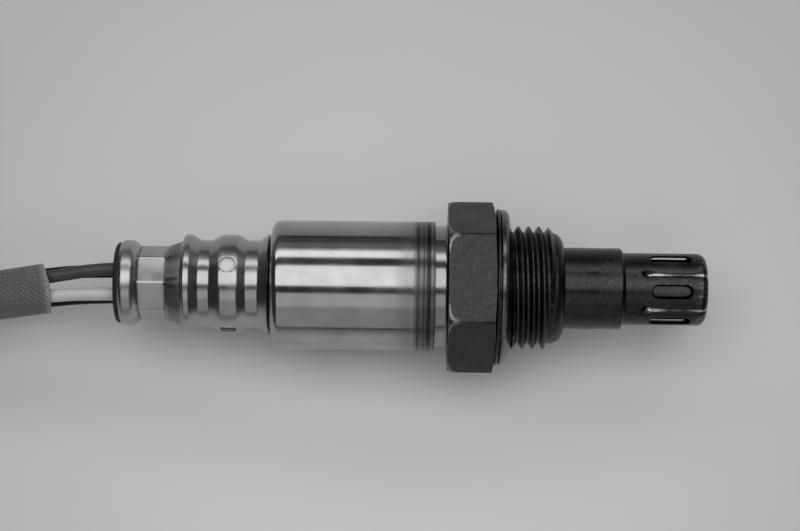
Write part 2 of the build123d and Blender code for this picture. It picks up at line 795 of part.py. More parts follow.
with BuildPart() as plug_body:
    with BuildSketch(across_plug(plug_rear)):
        RectangleRounded(block_width, block_height, block_round)
    extrude(amount=block_length)
    chamfer(plug_body.faces().sort_by(Axis.X)[0].edges(), block_chamfer)
    with BuildSketch(across_plug(plug_block_front)):
        RectangleRounded(tower_width, tower_height, tower_round)
    extrude(amount=tower_length)
    chamfer(plug_body.faces().sort_by(Axis.X)[-1].edges(), tower_chamfer)
    # Grip ribs down both sides of the rear block.
    for side in (-1, 1):
        for k in range(rib_count):
            with BuildSketch(across_plug(plug_rear + rib_first + rib_pitch * k)):
                with Locations((side * block_width / 2, 0)):
                    RectangleRounded(rib_size[0], rib_size[1], rib_round)
            extrude(amount=rib_length)
    # Lock lever: a bridge at the tower's front, a beam over the tower and a thumb pad behind.
    with BuildSketch(Plane.XZ.offset(-plug_y)):
        with BuildLine():
            Polyline(
                (plug_front - lever_front[0][0], plug_axis + lever_foot),
                (plug_front - lever_front[0][0], plug_axis + lever_front[0][1]),
                *[(plug_rear + run, plug_axis + height) for run, height in lever_pad],
                (plug_front - lever_front[1][0], plug_axis + lever_front[1][1]),
                (plug_front - lever_front[1][0], plug_axis + lever_foot),
                close=True,
            )
        make_face()
    extrude(amount=lever_width / 2, both=True)
    # The catch on the lever that holds the mating half.
    with BuildSketch(Plane.XZ.offset(-plug_y)):
        with BuildLine():
            Polyline(
                *[(plug_front - run, plug_axis + height) for run, height in catch_line],
                close=True,
            )
        make_face()
    extrude(amount=catch_width / 2, both=True)
    with BuildSketch(across_plug(plug_front)):
        with GridLocations(pocket_pitch_y, pocket_pitch_z, 2, 2):
            Rectangle(pocket_size, pocket_size)
    extrude(amount=-(tower_length + pocket_into_block), mode=Mode.SUBTRACT)
    with BuildSketch(across_plug(plug_rear)):
        with GridLocations(pocket_pitch_y, pocket_pitch_z, 2, 2):
            Circle(entry_radius)
    extrude(amount=entry_depth, mode=Mode.SUBTRACT)
    with BuildSketch(across_plug(plug_rear + entry_depth)):
        with GridLocations(pocket_pitch_y, pocket_pitch_z, 2, 2):
            Circle(wire_diameter / 2 + wire_hole_slack)
    extrude(amount=block_length - pocket_into_block - entry_depth, mode=Mode.SUBTRACT)
    # The retainer's slot, across the block from the +Y side.
    with BuildSketch(across_plug(plug_rear + retainer_place)):
        with Locations(((block_width - retainer_slot[0]) / 2, 0)):
            Rectangle(retainer_slot[0], retainer_slot[1])
    extrude(amount=retainer_slot[0], mode=Mode.SUBTRACT)
write(plug_body, "plug_body")

with BuildPart() as plug_retainer:
    with BuildSketch(across_plug(plug_rear + retainer_place + retainer_slack)):
        with Locations((block_width / 2 - retainer_inset, 0)):
            Rectangle(retainer_size[0], retainer_size[1])
    extrude(amount=retainer_size[2])
    chamfer(plug_retainer.edges().filter_by(Axis.Z).group_by(Axis.Y)[-1], retainer_chamfer)
write(plug_retainer, "plug_retainer")


def seal_ring(stand):
    """A sketch of the tower's outline with a band that stands that far off it."""
    RectangleRounded(tower_width + 2 * stand, tower_height + 2 * stand, tower_round + 0.8 * stand)
    RectangleRounded(tower_width, tower_height, tower_round, mode=Mode.SUBTRACT)


with BuildPart() as plug_seal:
    for k in range(seal_rib_count):
        with BuildSketch(across_plug(plug_block_front + seal_rib_first + seal_rib_pitch * k)):
            seal_ring(seal_rib)
        extrude(amount=seal_rib_length)
    with BuildSketch(across_plug(plug_block_front)):
        seal_ring(seal_band)
    extrude(amount=seal_length)
write(plug_seal, "plug_seal")

with BuildPart() as plug_contacts:
    with BuildSketch(across_plug(plug_block_front - pocket_into_block)):
        with GridLocations(pocket_pitch_y, pocket_pitch_z, 2, 2):
            Rectangle(pocket_size - contact_slack, pocket_size - contact_slack)
    extrude(amount=tower_length + pocket_into_block - contact_recess)
    with BuildSketch(across_plug(plug_front - contact_recess)):
        with GridLocations(pocket_pitch_y, pocket_pitch_z, 2, 2):
            Rectangle(contact_mouth[0], contact_mouth[1])
    extrude(amount=-contact_depth, mode=Mode.SUBTRACT)
write(plug_contacts, "plug_contacts")

with BuildPart() as wire_seals:
    with BuildSketch(across_plug(plug_rear - wire_seal_stand)):
        with GridLocations(pocket_pitch_y, pocket_pitch_z, 2, 2):
            Circle(entry_radius)
            Circle(wire_diameter / 2 + wire_slack, mode=Mode.SUBTRACT)
    extrude(amount=wire_seal_length)
write(wire_seals, "wire_seals")

# ---------------------------------------------------------------- wires from the sleeve to the plug
# They leave the sleeve's end, curl back inside the coil and go into the plug's four seals.
sleeve_gap = 0.1
plug_approach = 4.5
plug_entry = 3.2
curl_radius = 14.0
curl_corners = 3
straight_out = 4.6
curl_heights = [coil_height, -7.9, -8.3, -6.6, plug_axis, plug_axis]
bundle_half_pitch = 1.15

sleeve_end_angle = radians(sleeve_heading + 90 - coil_last_turn)
sleeve_end = coil_centre + (coil_first_radius - coil_pitch) * Vector(
    cos(sleeve_end_angle), sin(sleeve_end_angle), 0
)
end_heading = sleeve_heading - coil_last_turn
corner_turn = end_heading / curl_corners
tangent_length = curl_radius * tan(radians(corner_turn / 2))
curl = [sleeve_end + sleeve_gap * Vector(cos(radians(end_heading)), sin(radians(end_heading)), 0)]
for corner in range(curl_corners):
    run = (straight_out if corner == 0 else tangent_length) + tangent_length
    angle = radians(end_heading - corner * corner_turn)
    curl.append(curl[-1] + run * Vector(cos(angle), sin(angle), 0))
curl.append(Vector(plug_rear - plug_approach, curl[-1].Y, 0))
curl.append(Vector(plug_rear + plug_entry, curl[-1].Y, 0))
tail_shift = plug_y - curl[-1].Y

for number, (side_y, side_z) in enumerate([(1, 1), (-1, 1), (1, -1), (-1, -1)], start=1):
    points = []
    for k, corner in enumerate(curl):
        before = end_heading - min(max(k - 1, 0), curl_corners) * corner_turn
        after = end_heading - min(k, curl_corners) * corner_turn
        normal = radians((before + after) / 2 + 90)
        stretch = 1 / cos(radians((before - after) / 2))
        share = min(k / curl_corners, 1)
        half_y = bundle_half_pitch + share * (pocket_pitch_y / 2 - bundle_half_pitch)
        half_z = bundle_half_pitch + share * (pocket_pitch_z / 2 - bundle_half_pitch)
        place = corner + side_y * half_y * stretch * Vector(cos(normal), sin(normal), 0)
        points.append((place.X, place.Y + share * tail_shift, curl_heights[k] + side_z * half_z))
    name = f"plug_wire_{number}"
    tail = lay_tube(name, points, wire_diameter)
    write(tail, name)
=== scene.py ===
import math
import bmesh
import bpy
from bpy.props import FloatProperty, FloatVectorProperty, IntProperty, PointerProperty
from mathutils import Matrix, Vector, noise


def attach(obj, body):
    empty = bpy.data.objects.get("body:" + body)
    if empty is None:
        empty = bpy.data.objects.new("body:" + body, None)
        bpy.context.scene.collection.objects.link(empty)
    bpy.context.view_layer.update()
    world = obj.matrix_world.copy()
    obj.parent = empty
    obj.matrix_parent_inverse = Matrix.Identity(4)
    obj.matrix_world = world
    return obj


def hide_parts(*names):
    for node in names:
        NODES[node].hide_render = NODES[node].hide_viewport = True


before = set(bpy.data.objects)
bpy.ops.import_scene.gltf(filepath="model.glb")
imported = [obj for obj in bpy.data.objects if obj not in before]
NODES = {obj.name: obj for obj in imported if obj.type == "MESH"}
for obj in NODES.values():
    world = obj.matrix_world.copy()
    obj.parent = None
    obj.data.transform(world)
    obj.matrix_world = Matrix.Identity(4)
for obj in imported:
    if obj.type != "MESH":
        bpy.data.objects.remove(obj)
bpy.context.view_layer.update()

bl_info = {
    "name": "Oxygen sensor",
    "version": (1, 0, 0),
    "blender": (4, 5, 0),
    "location": "3D View > Sidebar > Oxygen sensor",
    "description": "Dresses a four-wire oxygen sensor with its slotted nose, vented cover, lead and plug",
    "category": "Object",
}

# Pieces are shaped in millimetres about the sensor's axis, +X to the nose, and stored in metres.
MM = 0.001
TURN = 2 * math.pi
AXIS = Vector((1, 0, 0))

# Points closer than this are one.
MERGE = 1e-4

# The hexagon's rear face along the axis, its flats' distance from the axis and half a flat's width.
HEXAGON_REAR = -9.1
FLAT_OUT = 11.0
HALF_FLAT = 6.35


def colour_property(name, description, default):
    """A colour that a user would change."""
    return FloatVectorProperty(
        name=name, description=description, subtype="COLOR", size=3, min=0, max=1, default=default
    )


class SensorSizes(bpy.types.PropertyGroup):
    """Sizes of the sensor's visible shapes, in millimetres where they have a unit."""

    thread_pitch: FloatProperty(name="Thread pitch", description="From crest to crest", default=1.5)
    thread_depth: FloatProperty(name="Thread depth", description="From crest to root", default=0.86)
    crest_place: FloatProperty(
        name="Crest place", description="Distance of a crest from the seat, on top", default=1.54
    )
    hexagon: FloatProperty(name="Hexagon", description="Across the flats", default=22.0)
    flute_width: FloatProperty(name="Flute width", description="Across a flute's mouth", default=1.5)
    slot_length: FloatProperty(name="Slot length", description="Of a gas slot, overall", default=6.1)
    slot_width: FloatProperty(name="Slot width", description="Of a gas slot", default=2.1)
    braid_strands: IntProperty(name="Braid strands", description="Each way round the sleeve", default=30)
    wire: FloatProperty(name="Wire", description="Diameter over the insulation", default=1.9)
    sleeve: FloatProperty(name="Sleeve", description="Outside diameter", default=7.2)


class SensorColours(bpy.types.PropertyGroup):
    """Base colours of the sensor's finishes."""

    housing: colour_property("Housing", "Dark satin steel of the hexagon and thread", (0.045, 0.045, 0.045))
    nose: colour_property("Nose", "Dark steel of the slotted nose", (0.04, 0.04, 0.041))
    bright: colour_property("Bright steel", "Drawn covers", (0.39, 0.39, 0.39))
    sleeve: colour_property("Sleeve", "Braided sleeve", (0.12, 0.12, 0.118))
    rubber: colour_property("Rubber", "Grommet", (0.02, 0.02, 0.02))
    grey_wire: colour_property("Grey wire", "Insulation", (0.045, 0.045, 0.047))
    white_wire: colour_property("White wire", "Insulation", (0.62, 0.62, 0.60))
    black_wire: colour_property("Black wires", "Insulation", (0.006, 0.006, 0.006))
    table: colour_property("Table", "Floor under the sensor", (0.88, 0.88, 0.88))


# ---------------------------------------------------------------- shaping
def ease(share):
    """0 to 1 with level ends as the share goes from 0 to 1."""
    share = min(1, max(0, share))
    return share * share * (3 - 2 * share)


def radius_of(place):
    """Distance from the sensor's axis."""
    return math.hypot(place.y, place.z)


def lean_of(place):
    """Degrees round the axis from straight up toward -Y."""
    return math.degrees(math.atan2(-place.y, place.z))


def past_nearest(lean, first, apart):
    """Degrees from the nearest of some features, of which the first's lean and the spacing are given."""
    return (lean - first + apart / 2) % apart - apart / 2


def draw_in(vert, share):
    """Scales a point's distance from the sensor's axis."""
    vert.co.y *= share
    vert.co.z *= share


def store_mesh(name, bm):
    """Stores a mesh under construction and frees it."""
    mesh = bpy.data.meshes.new(name)
    bm.to_mesh(mesh)
    bm.free()
    return mesh


def place_object(name, data):
    """Stands a mesh, line, camera or lamp in the scene."""
    made = bpy.data.objects.new(name, data)
    bpy.context.scene.collection.objects.link(made)
    return made


def join(whole, part):
    """Adds one mesh under construction to another and frees it."""
    mesh = store_mesh("joined", part)
    whole.from_mesh(mesh)
    bpy.data.meshes.remove(mesh)


def round_off(bm, geom, width, segments, affect):
    """Rounds corners of a line or edges of a mesh."""
    bmesh.ops.bevel(
        bm,
        geom=geom,
        offset=width,
        offset_type="OFFSET",
        affect=affect,
        segments=segments,
        profile=0.5,
        material=-1,
        clamp_overlap=affect == "EDGES",
    )


def profile(bm, points, segments=4, close=False):
    """Draws a line through (x, radius, bend) points beside the axis and rounds the points that bend."""
    corners = [bm.verts.new((x, 0, radius)) for x, radius, _ in points]
    ends = corners[1:] + corners[:1] if close else corners[1:]
    for start, end in zip(corners, ends):
        bm.edges.new((start, end))
    places = [Vector((x, radius)) for x, radius, _ in points]
    for k, (corner, (_, _, bend)) in enumerate(zip(corners, points)):
        if not bend or (not close and k in (0, len(points) - 1)):
            continue
        arriving = places[k] - places[k - 1]
        leaving = places[(k + 1) % len(places)] - places[k]
        reach = bend * math.tan(arriving.angle(leaving) / 2)
        # Rounds beside each other never meet.
        reach = min(reach, 0.48 * arriving.length, 0.48 * leaving.length)
        round_off(bm, [corner], reach, segments, "VERTICES")


def turn(bm, steps):
    """Turns what is drawn once round the sensor's axis."""
    drawn = bm.verts[:] + bm.edges[:]
    bmesh.ops.spin(
        bm, geom=drawn, cent=(0, 0, 0), axis=AXIS, angle=TURN, steps=steps, use_merge=True
    )
    bmesh.ops.remove_doubles(bm, verts=bm.verts, dist=MERGE)
    face_outwards(bm)


def face_outwards(bm):
    """Turns the faces of every shell outwards; an open shell is judged by its own middle."""
    bmesh.ops.recalc_face_normals(bm, faces=bm.faces)
    lean = 0.0
    for face in bm.faces:
        middle = face.calc_center_median()
        lean += face.normal.dot(Vector((0, middle.y, middle.z))) * face.calc_area()
    if any(edge.is_boundary for edge in bm.edges) and lean < 0:
        bmesh.ops.reverse_faces(bm, faces=bm.faces)


def turned_piece(*lines, steps):
    """A new mesh of one or more closed lines turned round the axis."""
    whole = bmesh.new()
    for line in lines:
        part = bmesh.new()
        profile(part, line, close=True)
        turn(part, steps)
        join(whole, part)
    return whole


def sheet_piece(line, wall):
    """A drawn sheet cover: its outer line turned round the axis, then given its wall inwards."""
    bm = bmesh.new()
    profile(bm, line, segments=6)
    turn(bm, steps=160)
    give_wall(bm, wall)
    return bm


def give_wall(bm, wall):
    """Thickens an open shell inwards."""
    bmesh.ops.solidify(bm, geom=bm.faces[:], thickness=wall)
    bmesh.ops.recalc_face_normals(bm, faces=bm.faces)


def saw_off(bm, place, out):
    """Cuts away what lies outside a plane and returns the cut's edges."""
    whole = bm.verts[:] + bm.edges[:] + bm.faces[:]
    sawn = bmesh.ops.bisect_plane(
        bm, geom=whole, plane_co=place, plane_no=out, dist=1e-5, clear_outer=True
    )
    return [item for item in sawn["geom_cut"] if isinstance(item, bmesh.types.BMEdge)]


def drill(radius, along, height, segments):
    """A short round cutter that stands on end above the axis."""
    part = bmesh.new()
    bmesh.ops.create_cone(
        part, cap_ends=True, segments=segments, radius1=radius, radius2=radius, depth=3
    )
    bmesh.ops.translate(part, verts=part.verts, vec=(along, 0, height))
    return part


def ring_of(make, count, first):
    """Repeats a cutter round the axis, evenly from a first lean in degrees."""
    whole = bmesh.new()
    for k in range(count):
        part = make()
        lean = Matrix.Rotation(math.radians(first + 360 / count * k), 3, "X")
        bmesh.ops.rotate(part, verts=part.verts, cent=(0, 0, 0), matrix=lean)
        join(whole, part)
    return whole


def cut(bm, cutters):
    """Takes the cutters' volume out of the mesh and returns the new mesh."""
    blank = place_object("blank", store_mesh("blank", bm))
    tool = place_object("tool", store_mesh("tool", cutters))
    boolean = blank.modifiers.new("cut", "BOOLEAN")
    boolean.operation = "DIFFERENCE"
    boolean.solver = "EXACT"
    boolean.object = tool
    graph = bpy.context.evaluated_depsgraph_get()
    mesh = bpy.data.meshes.new_from_object(blank.evaluated_get(graph))
    result = bmesh.new()
    result.from_mesh(mesh)
    for spent in (blank, tool):
        data = spent.data
        bpy.data.objects.remove(spent)
        bpy.data.meshes.remove(data)
    bpy.data.meshes.remove(mesh)
    if not result.faces:
        raise RuntimeError("the cut left nothing")
    bmesh.ops.remove_doubles(result, verts=result.verts, dist=MERGE)
    return result


def soften(bm, width, least, segments, chosen):
    """Rounds the chosen edges that turn by more than that many degrees."""
    sharp = [
        edge
        for edge in bm.edges
        if edge.is_manifold and edge.calc_face_angle(0) > math.radians(least) and chosen(edge)
    ]
    round_off(bm, sharp, width, segments, "EDGES")


def mark_wear(bm, weight):
    """Stores where handling wears an edge bright and where a concave corner is darkened, per face corner.
    The small faces of a rounded edge take both, and the large faces beside it neither."""
    least_bend, fully_worn, fully_concave, small = 7, 16, 20, 0.6
    worn = bm.loops.layers.float.new("worn")
    concave_corner = bm.loops.layers.float.new("concave_corner")
    bm.normal_update()
    level = {}
    for vert in bm.verts:
        bend = [edge.calc_face_angle_signed(0) for edge in vert.link_edges if edge.is_manifold]
        share = weight(vert.co) if weight else 1
        high = math.degrees(max(bend, default=0)) - least_bend
        low = -math.degrees(min(bend, default=0)) - least_bend
        rubbed = min(1, share * max(0, high / fully_worn))
        level[vert] = (rubbed, min(1, max(0, low / fully_concave)))
    for face in bm.faces:
        fine = face.calc_area() < small
        for loop in face.loops:
            loop[worn], loop[concave_corner] = level[loop.vert] if fine else (0, 0)


def finish(bm, name, finishes, slot, *nodes, crease=38, weight=None):
    """Stores the mesh as a piece of the sensor, in metres, in place of its CAD nodes."""
    mark_wear(bm, weight)
    bmesh.ops.scale(bm, vec=(MM, MM, MM), verts=bm.verts)
    mesh = store_mesh(name, bm)
    mesh.shade_smooth()
    mesh.set_sharp_from_angle(angle=math.radians(crease))
    return keep(place_object(name, mesh), finishes, slot, *nodes)


def keep(piece, finishes, slot, *nodes):
    """Gives a new piece its materials, its body and its CAD nodes."""
    for look in finishes:
        piece.data.materials.append(look)
    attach(piece, "root")
    if nodes:
        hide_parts(*nodes)
    return piece


def dress(node, look):
    """Gives a CAD node that shows a finish of its own."""
    shown = NODES[node]
    shown.data.materials.clear()
    shown.data.materials.append(look)


# ---------------------------------------------------------------- shader steps
def feed(tree, sockets, values):
    """Gives sockets their values; each is a plain value or a socket to take it from."""
    for key, value in values.items():
        if isinstance(value, bpy.types.NodeSocket):
            tree.links.new(value, sockets[key])
        else:
            sockets[key].default_value = value


def add(tree, kind, inputs=None, **settings):
    """Adds a shader node with its settings and inputs."""
    made = tree.nodes.new("ShaderNode" + kind)
    for key, value in settings.items():
        setattr(made, key, value)
    feed(tree, made.inputs, inputs or {})
    return made


def maths(tree, operation, first, second=0.0):
    """One step of arithmetic on values or sockets."""
    return add(tree, "Math", {0: first, 1: second}, operation=operation).outputs[0]


def plus(tree, first, second):
    """The sum of two values."""
    return maths(tree, "ADD", first, second)


def minus(tree, first, second):
    """The first value less the second."""
    return maths(tree, "SUBTRACT", first, second)


def times(tree, first, second):
    """The product of two values."""
    return maths(tree, "MULTIPLY", first, second)


def larger(tree, first, second):
    """The larger of two values."""
    return maths(tree, "MAXIMUM", first, second)


def squares(tree, first, second):
    """The sum of two values' squares."""
    return plus(tree, times(tree, first, first), times(tree, second, second))


def ranged(tree, value, low, high, to_low=0.0, to_high=1.0):
    """Eases a value from one range to another, held at its ends."""
    inputs = {0: value, 1: low, 2: high, 3: to_low, 4: to_high}
    return add(tree, "MapRange", inputs, interpolation_type="SMOOTHSTEP").outputs[0]


def blend(tree, share, first, second):
    """Mixes two colours by a share."""
    mixer = add(tree, "Mix", {0: share}, data_type="RGBA")
    for socket, colour in ((6, first), (7, second)):
        plain_colour = not isinstance(colour, bpy.types.NodeSocket)
        feed(tree, mixer.inputs, {socket: (*colour, 1) if plain_colour else colour})
    return mixer.outputs[2]


def tint(colour, share):
    """A colour made darker or lighter by a share."""
    return [min(1, c * share) for c in colour]


def object_place(tree):
    """The place on the piece, in metres."""
    return add(tree, "TexCoord").outputs["Object"]


def parts_of(tree, place):
    """A place's X, Y and Z."""
    return add(tree, "SeparateXYZ", {0: place}).outputs


def patches(tree, place, scale, detail, roughness=0.5):
    """Uneven patches, 0 to 1."""
    inputs = {"Vector": place, "Scale": scale, "Detail": detail, "Roughness": roughness}
    return add(tree, "TexNoise", inputs).outputs["Fac"]


def stored(tree, name):
    """A value that the piece's mesh stores."""
    return add(tree, "Attribute", attribute_name=name).outputs["Fac"]


def group(name, inputs, outputs):
    """A shader node group with named sockets, and the ends to build between."""
    made = bpy.data.node_groups.new(name, "ShaderNodeTree")
    for label, default in inputs.items():
        socket = made.interface.new_socket(label, in_out="INPUT", socket_type="NodeSocketFloat")
        socket.default_value = default
    for label in outputs:
        made.interface.new_socket(label, in_out="OUTPUT", socket_type="NodeSocketFloat")
    return made, made.nodes.new("NodeGroupInput").outputs, made.nodes.new("NodeGroupOutput").inputs


def use(tree, name, **inputs):
    """Places a shader node group with values for its inputs."""
    made = tree.nodes.new("ShaderNodeGroup")
    made.node_tree = bpy.data.node_groups[name]
    feed(tree, made.inputs, inputs)
    return made.outputs


# ---------------------------------------------------------------- effects that finishes share
def worn_edges():
    """Bright edges and rubbed floors, both broken up, and darker concave corners. The rubbed floors carry
    painted highlight where a piece stores it.
    """
    inputs = {"Amount": 1.0, "Breakup": 0.5, "Scale": 900.0}
    tree, given, gives = group("Worn edges", inputs, ("Bright", "Corner darkening", "Rubbed and sheen"))
    patch = patches(tree, object_place(tree), given["Scale"], 6.0, 0.65)
    rubbed, worn, concave_corner = stored(tree, "rub"), stored(tree, "worn"), stored(tree, "concave_corner")
    drop = times(tree, minus(tree, patch, 0.5), given["Breakup"])
    lifted = plus(tree, worn, times(tree, drop, 4.0))
    rub = times(tree, ranged(tree, lifted, 0.35, 0.95), given["Amount"])
    uneven = plus(tree, rubbed, times(tree, drop, 0.8))
    feed(
        tree,
        gives,
        {
            "Rubbed and sheen": times(tree, uneven, ranged(tree, rubbed, 0.0, 0.5)),
            "Bright": times(tree, rub, ranged(tree, worn, 0.02, 0.3)),
            "Corner darkening": ranged(tree, plus(tree, concave_corner, drop), 0.2, 0.9),
        },
    )


def corner_arcs():
    """Bright arcs across the rear corners of the hexagon's flats, where a spanner's jaws rub."""
    arc_along, arc_across = 1.35 * MM, 2.4 * MM
    tree, _, gives = group("Corner arcs", {}, ("Mask",))
    parts = parts_of(tree, object_place(tree))
    ahead = plus(tree, parts["X"], -HEXAGON_REAR * MM)
    ahead = maths(tree, "DIVIDE", ahead, arc_along)
    beyond = minus(tree, squares(tree, parts["Y"], parts["Z"]), (FLAT_OUT * MM) ** 2)
    across = maths(tree, "SQRT", larger(tree, beyond, 0.0))
    inward = maths(tree, "DIVIDE", minus(tree, HALF_FLAT * MM, across), arc_across)
    first = larger(tree, minus(tree, 1.0, ahead), 0.0)
    second = larger(tree, minus(tree, 1.0, inward), 0.0)
    reach = maths(tree, "SQRT", squares(tree, first, second))
    near = ranged(tree, larger(tree, ahead, inward), 0.85, 1.25, 1.0, 0.0)
    arc = times(tree, ranged(tree, reach, 0.7, 1.0), ranged(tree, reach, 1.0, 1.12, 1.0, 0.0))
    feed(tree, gives, {"Mask": times(tree, arc, near)})


def flecks():
    """Small pale specks, thicker in some patches."""
    tree, given, gives = group("Flecks", {"Scale": 2400.0, "Amount": 0.1}, ("Mask",))
    place = object_place(tree)
    fine = patches(tree, place, given["Scale"], 3.0, 0.6)
    wide = patches(tree, place, 260.0, 2.0)
    gate = minus(tree, 0.86, times(tree, given["Amount"], wide))
    feed(tree, gives, {"Mask": ranged(tree, fine, gate, plus(tree, gate, 0.05))})


def turned_grain():
    """Fine lines left by turning and drawing, long round the axis and short along it, and blotches."""
    tree, given, gives = group("Turned grain", {"Scale": 2500.0}, ("Height", "Blotch"))
    place = object_place(tree)
    parts = parts_of(tree, place)
    around = maths(tree, "ARCTAN2", parts["Y"], parts["Z"])
    drawn = {
        0: times(tree, parts["X"], given["Scale"]),
        1: times(tree, maths(tree, "SINE", around), 0.9),
        2: times(tree, maths(tree, "COSINE", around), 0.9),
    }
    drawn = add(tree, "CombineXYZ", drawn).outputs[0]
    lines = patches(tree, drawn, 1.0, 4.0, 0.7)
    feed(tree, gives, {"Height": lines, "Blotch": patches(tree, place, 220.0, 5.0, 0.6)})


def braid():
    """Two sets of strands that wind opposite ways and take turns on top."""
    inputs = {"Strands": 30.0, "Pitch": 1326.0}
    tree, given, gives = group("Braid", inputs, ("Height", "Strand", "Gap"))
    parts = parts_of(tree, add(tree, "UVMap").outputs[0])
    around = times(tree, parts["X"], given["Strands"])
    along = times(tree, parts["Y"], given["Pitch"])
    ways = (plus(tree, around, along), minus(tree, around, along))
    left, right = (
        maths(tree, "SINE", times(tree, maths(tree, "FRACT", way), math.pi)) for way in ways
    )
    count = plus(tree, *(maths(tree, "FLOOR", way) for way in ways))
    over = maths(tree, "PINGPONG", count, 1.0)
    top = add(tree, "Mix", {0: over, 2: left, 3: right}).outputs[0]
    under = add(tree, "Mix", {0: over, 2: right, 3: left}).outputs[0]
    height = plus(tree, times(tree, top, 0.8), times(tree, under, 0.2))
    gap = ranged(tree, top, 0.0, 0.45, 1.0, 0.0)
    feed(tree, gives, {"Height": height, "Strand": over, "Gap": gap})


# ---------------------------------------------------------------- finishes
def material(name):
    """A new material: its node tree and its Principled shader."""
    made = bpy.data.materials.new(name)
    made.use_nodes = True
    return made, made.node_tree, made.node_tree.nodes["Principled BSDF"]


def relief(tree, height, distance, strength):
    """The normal of a height; the distance is in metres."""
    return add(tree, "Bump", {"Height": height, "Distance": distance, "Strength": strength}).outputs[0]


def dark_steel(name, colour, wear=0.9, rough=(0.34, 0.52), speck=0.28, arcs=0.0):
    """Heat-darkened steel: satin, mottled, with bright worn edges, pale specks and darker concave corners.
    """
    bright, corner_colour, floor = (0.42, 0.42, 0.43), (0.012, 0.012, 0.012), (0.62, 0.62, 0.63)
    made, tree, shader = material(name)
    grain = use(tree, "Turned grain", Scale=2200.0)
    edges = use(tree, "Worn edges", Amount=wear, Breakup=0.9, Scale=1500.0)
    dots = use(tree, "Flecks", Scale=2600.0, Amount=speck)
    speckle = patches(tree, object_place(tree), 1900.0, 4.0, 0.7)
    cloud = plus(tree, times(tree, grain["Blotch"], 0.45), times(tree, speckle, 0.55))
    base = blend(tree, ranged(tree, cloud, 0.36, 0.66), tint(colour, 0.68), tint(colour, 1.4))
    rubbed = larger(tree, edges["Bright"], times(tree, dots["Mask"], 0.35))
    if arcs:
        uneven = ranged(tree, speckle, 0.3, 0.7, 0.7, 1.2)
        arc = times(tree, use(tree, "Corner arcs")["Mask"], uneven)
        rubbed = larger(tree, rubbed, times(tree, arc, arcs))
    base = blend(tree, rubbed, base, bright)
    # Darker in concave corners.
    base = blend(tree, times(tree, edges["Corner darkening"], 0.7), base, corner_colour)
    # Rubbed floors are lighter: rubbed metal, with painted highlight at the flutes' ends.
    base = blend(tree, edges["Rubbed and sheen"], base, floor)
    uneven_rough = ranged(tree, grain["Blotch"], 0.3, 0.75, rough[0], rough[1])
    height = plus(tree, grain["Height"], times(tree, grain["Blotch"], 0.6))
    looks = {
        "Base Color": base,
        "Metallic": 1.0,
        "Roughness": minus(tree, uneven_rough, times(tree, edges["Bright"], 0.12)),
        "Normal": relief(tree, height, 0.00002, 0.35),
    }
    feed(tree, shader.inputs, looks)
    return made


def slot_shaded_steel(name, colour):
    """Grey oxidised steel, painted near black round each slot's outline as painted shade."""
    made, tree, shader = material(name)
    patch = patches(tree, object_place(tree), 900.0, 5.0, 0.65)
    edge = plus(tree, stored(tree, "slot_shade"), times(tree, minus(tree, patch, 0.5), 0.5))
    bare = blend(tree, ranged(tree, patch, 0.3, 0.7), tint(colour, 0.6), tint(colour, 1.5))
    looks = {
        # Painted shade: near black where the slot shade is stored.
        "Base Color": blend(tree, ranged(tree, edge, 0.25, 0.75), bare, (0.004, 0.004, 0.004)),
        "Metallic": 1.0,
        "Roughness": ranged(tree, patch, 0.3, 0.7, 0.52, 0.68),
        "Normal": relief(tree, patch, 0.00002, 0.4),
    }
    feed(tree, shader.inputs, looks)
    return made


def heat_and_shade_bands(tree, grain, bands):
    """How dark the steel is painted in bands: heat marks beside the weld, and painted shade where a slope
    faces away from the lamps.
    Each band is given along the axis in millimetres as its start, end, darkness and the softness of both
    ends."""
    along = parts_of(tree, object_place(tree))["X"]
    moved = plus(tree, along, times(tree, minus(tree, grain["Blotch"], 0.5), 0.2 * MM))
    darkest = 0.0
    for start, end, darkness, softness in bands:
        soft = softness * MM
        rise = ranged(tree, moved, start * MM - soft, start * MM + soft)
        fall = ranged(tree, moved, end * MM - soft, end * MM + soft, 1.0, 0.0)
        darkest = larger(tree, darkest, times(tree, times(tree, rise, fall), darkness))
    return times(tree, darkest, ranged(tree, grain["Height"], 0.3, 0.7, 0.86, 1.08))


def bright_steel(name, colour, rough, bands=()):
    """Drawn bright steel with fine lines round it, darkened in bands by heat and by painted shade."""
    scorch_and_shade, corner_colour = (0.022, 0.021, 0.02), (0.03, 0.03, 0.03)
    made, tree, shader = material(name)
    grain = use(tree, "Turned grain", Scale=3600.0)
    edges = use(tree, "Worn edges", Amount=0.5, Breakup=0.6, Scale=1200.0)
    patch = ranged(tree, grain["Blotch"], 0.3, 0.75)
    base = blend(tree, patch, tint(colour, 0.86), tint(colour, 1.08))
    roughness = ranged(tree, grain["Blotch"], 0.3, 0.75, rough[0], rough[1])
    if bands:
        # The bands darken by heat marks and by painted shade.
        shade = heat_and_shade_bands(tree, grain, bands)
        base = blend(tree, shade, base, scorch_and_shade)
        roughness = plus(tree, roughness, times(tree, shade, 0.2))
    looks = {
        "Base Color": blend(tree, times(tree, edges["Corner darkening"], 0.55), base, corner_colour),
        "Metallic": 1.0,
        "Roughness": roughness,
        "Normal": relief(tree, grain["Height"], 0.00001, 0.42),
    }
    feed(tree, shader.inputs, looks)
    return made


def plain(name, colour, rough, vary=0.12, scale=900.0, metallic=0.0, shine=0.5):
    """A moulded, fired or rubbery finish: a slightly uneven colour with a fine grain."""
    made, tree, shader = material(name)
    place = object_place(tree)
    broad = patches(tree, place, scale * 0.2, 4.0)
    fine = patches(tree, place, scale * 3, 5.0, 0.7)
    share = ranged(tree, broad, 0.3, 0.7)
    looks = {
        "Base Color": blend(tree, share, tint(colour, 1 - vary), tint(colour, 1 + vary)),
        "Roughness": ranged(tree, fine, 0.3, 0.7, rough - 0.06, rough + 0.08),
        "Metallic": metallic,
        "Specular IOR Level": shine,
        "Normal": relief(tree, fine, 0.00003, 0.4),
    }
    feed(tree, shader.inputs, looks)
    return made


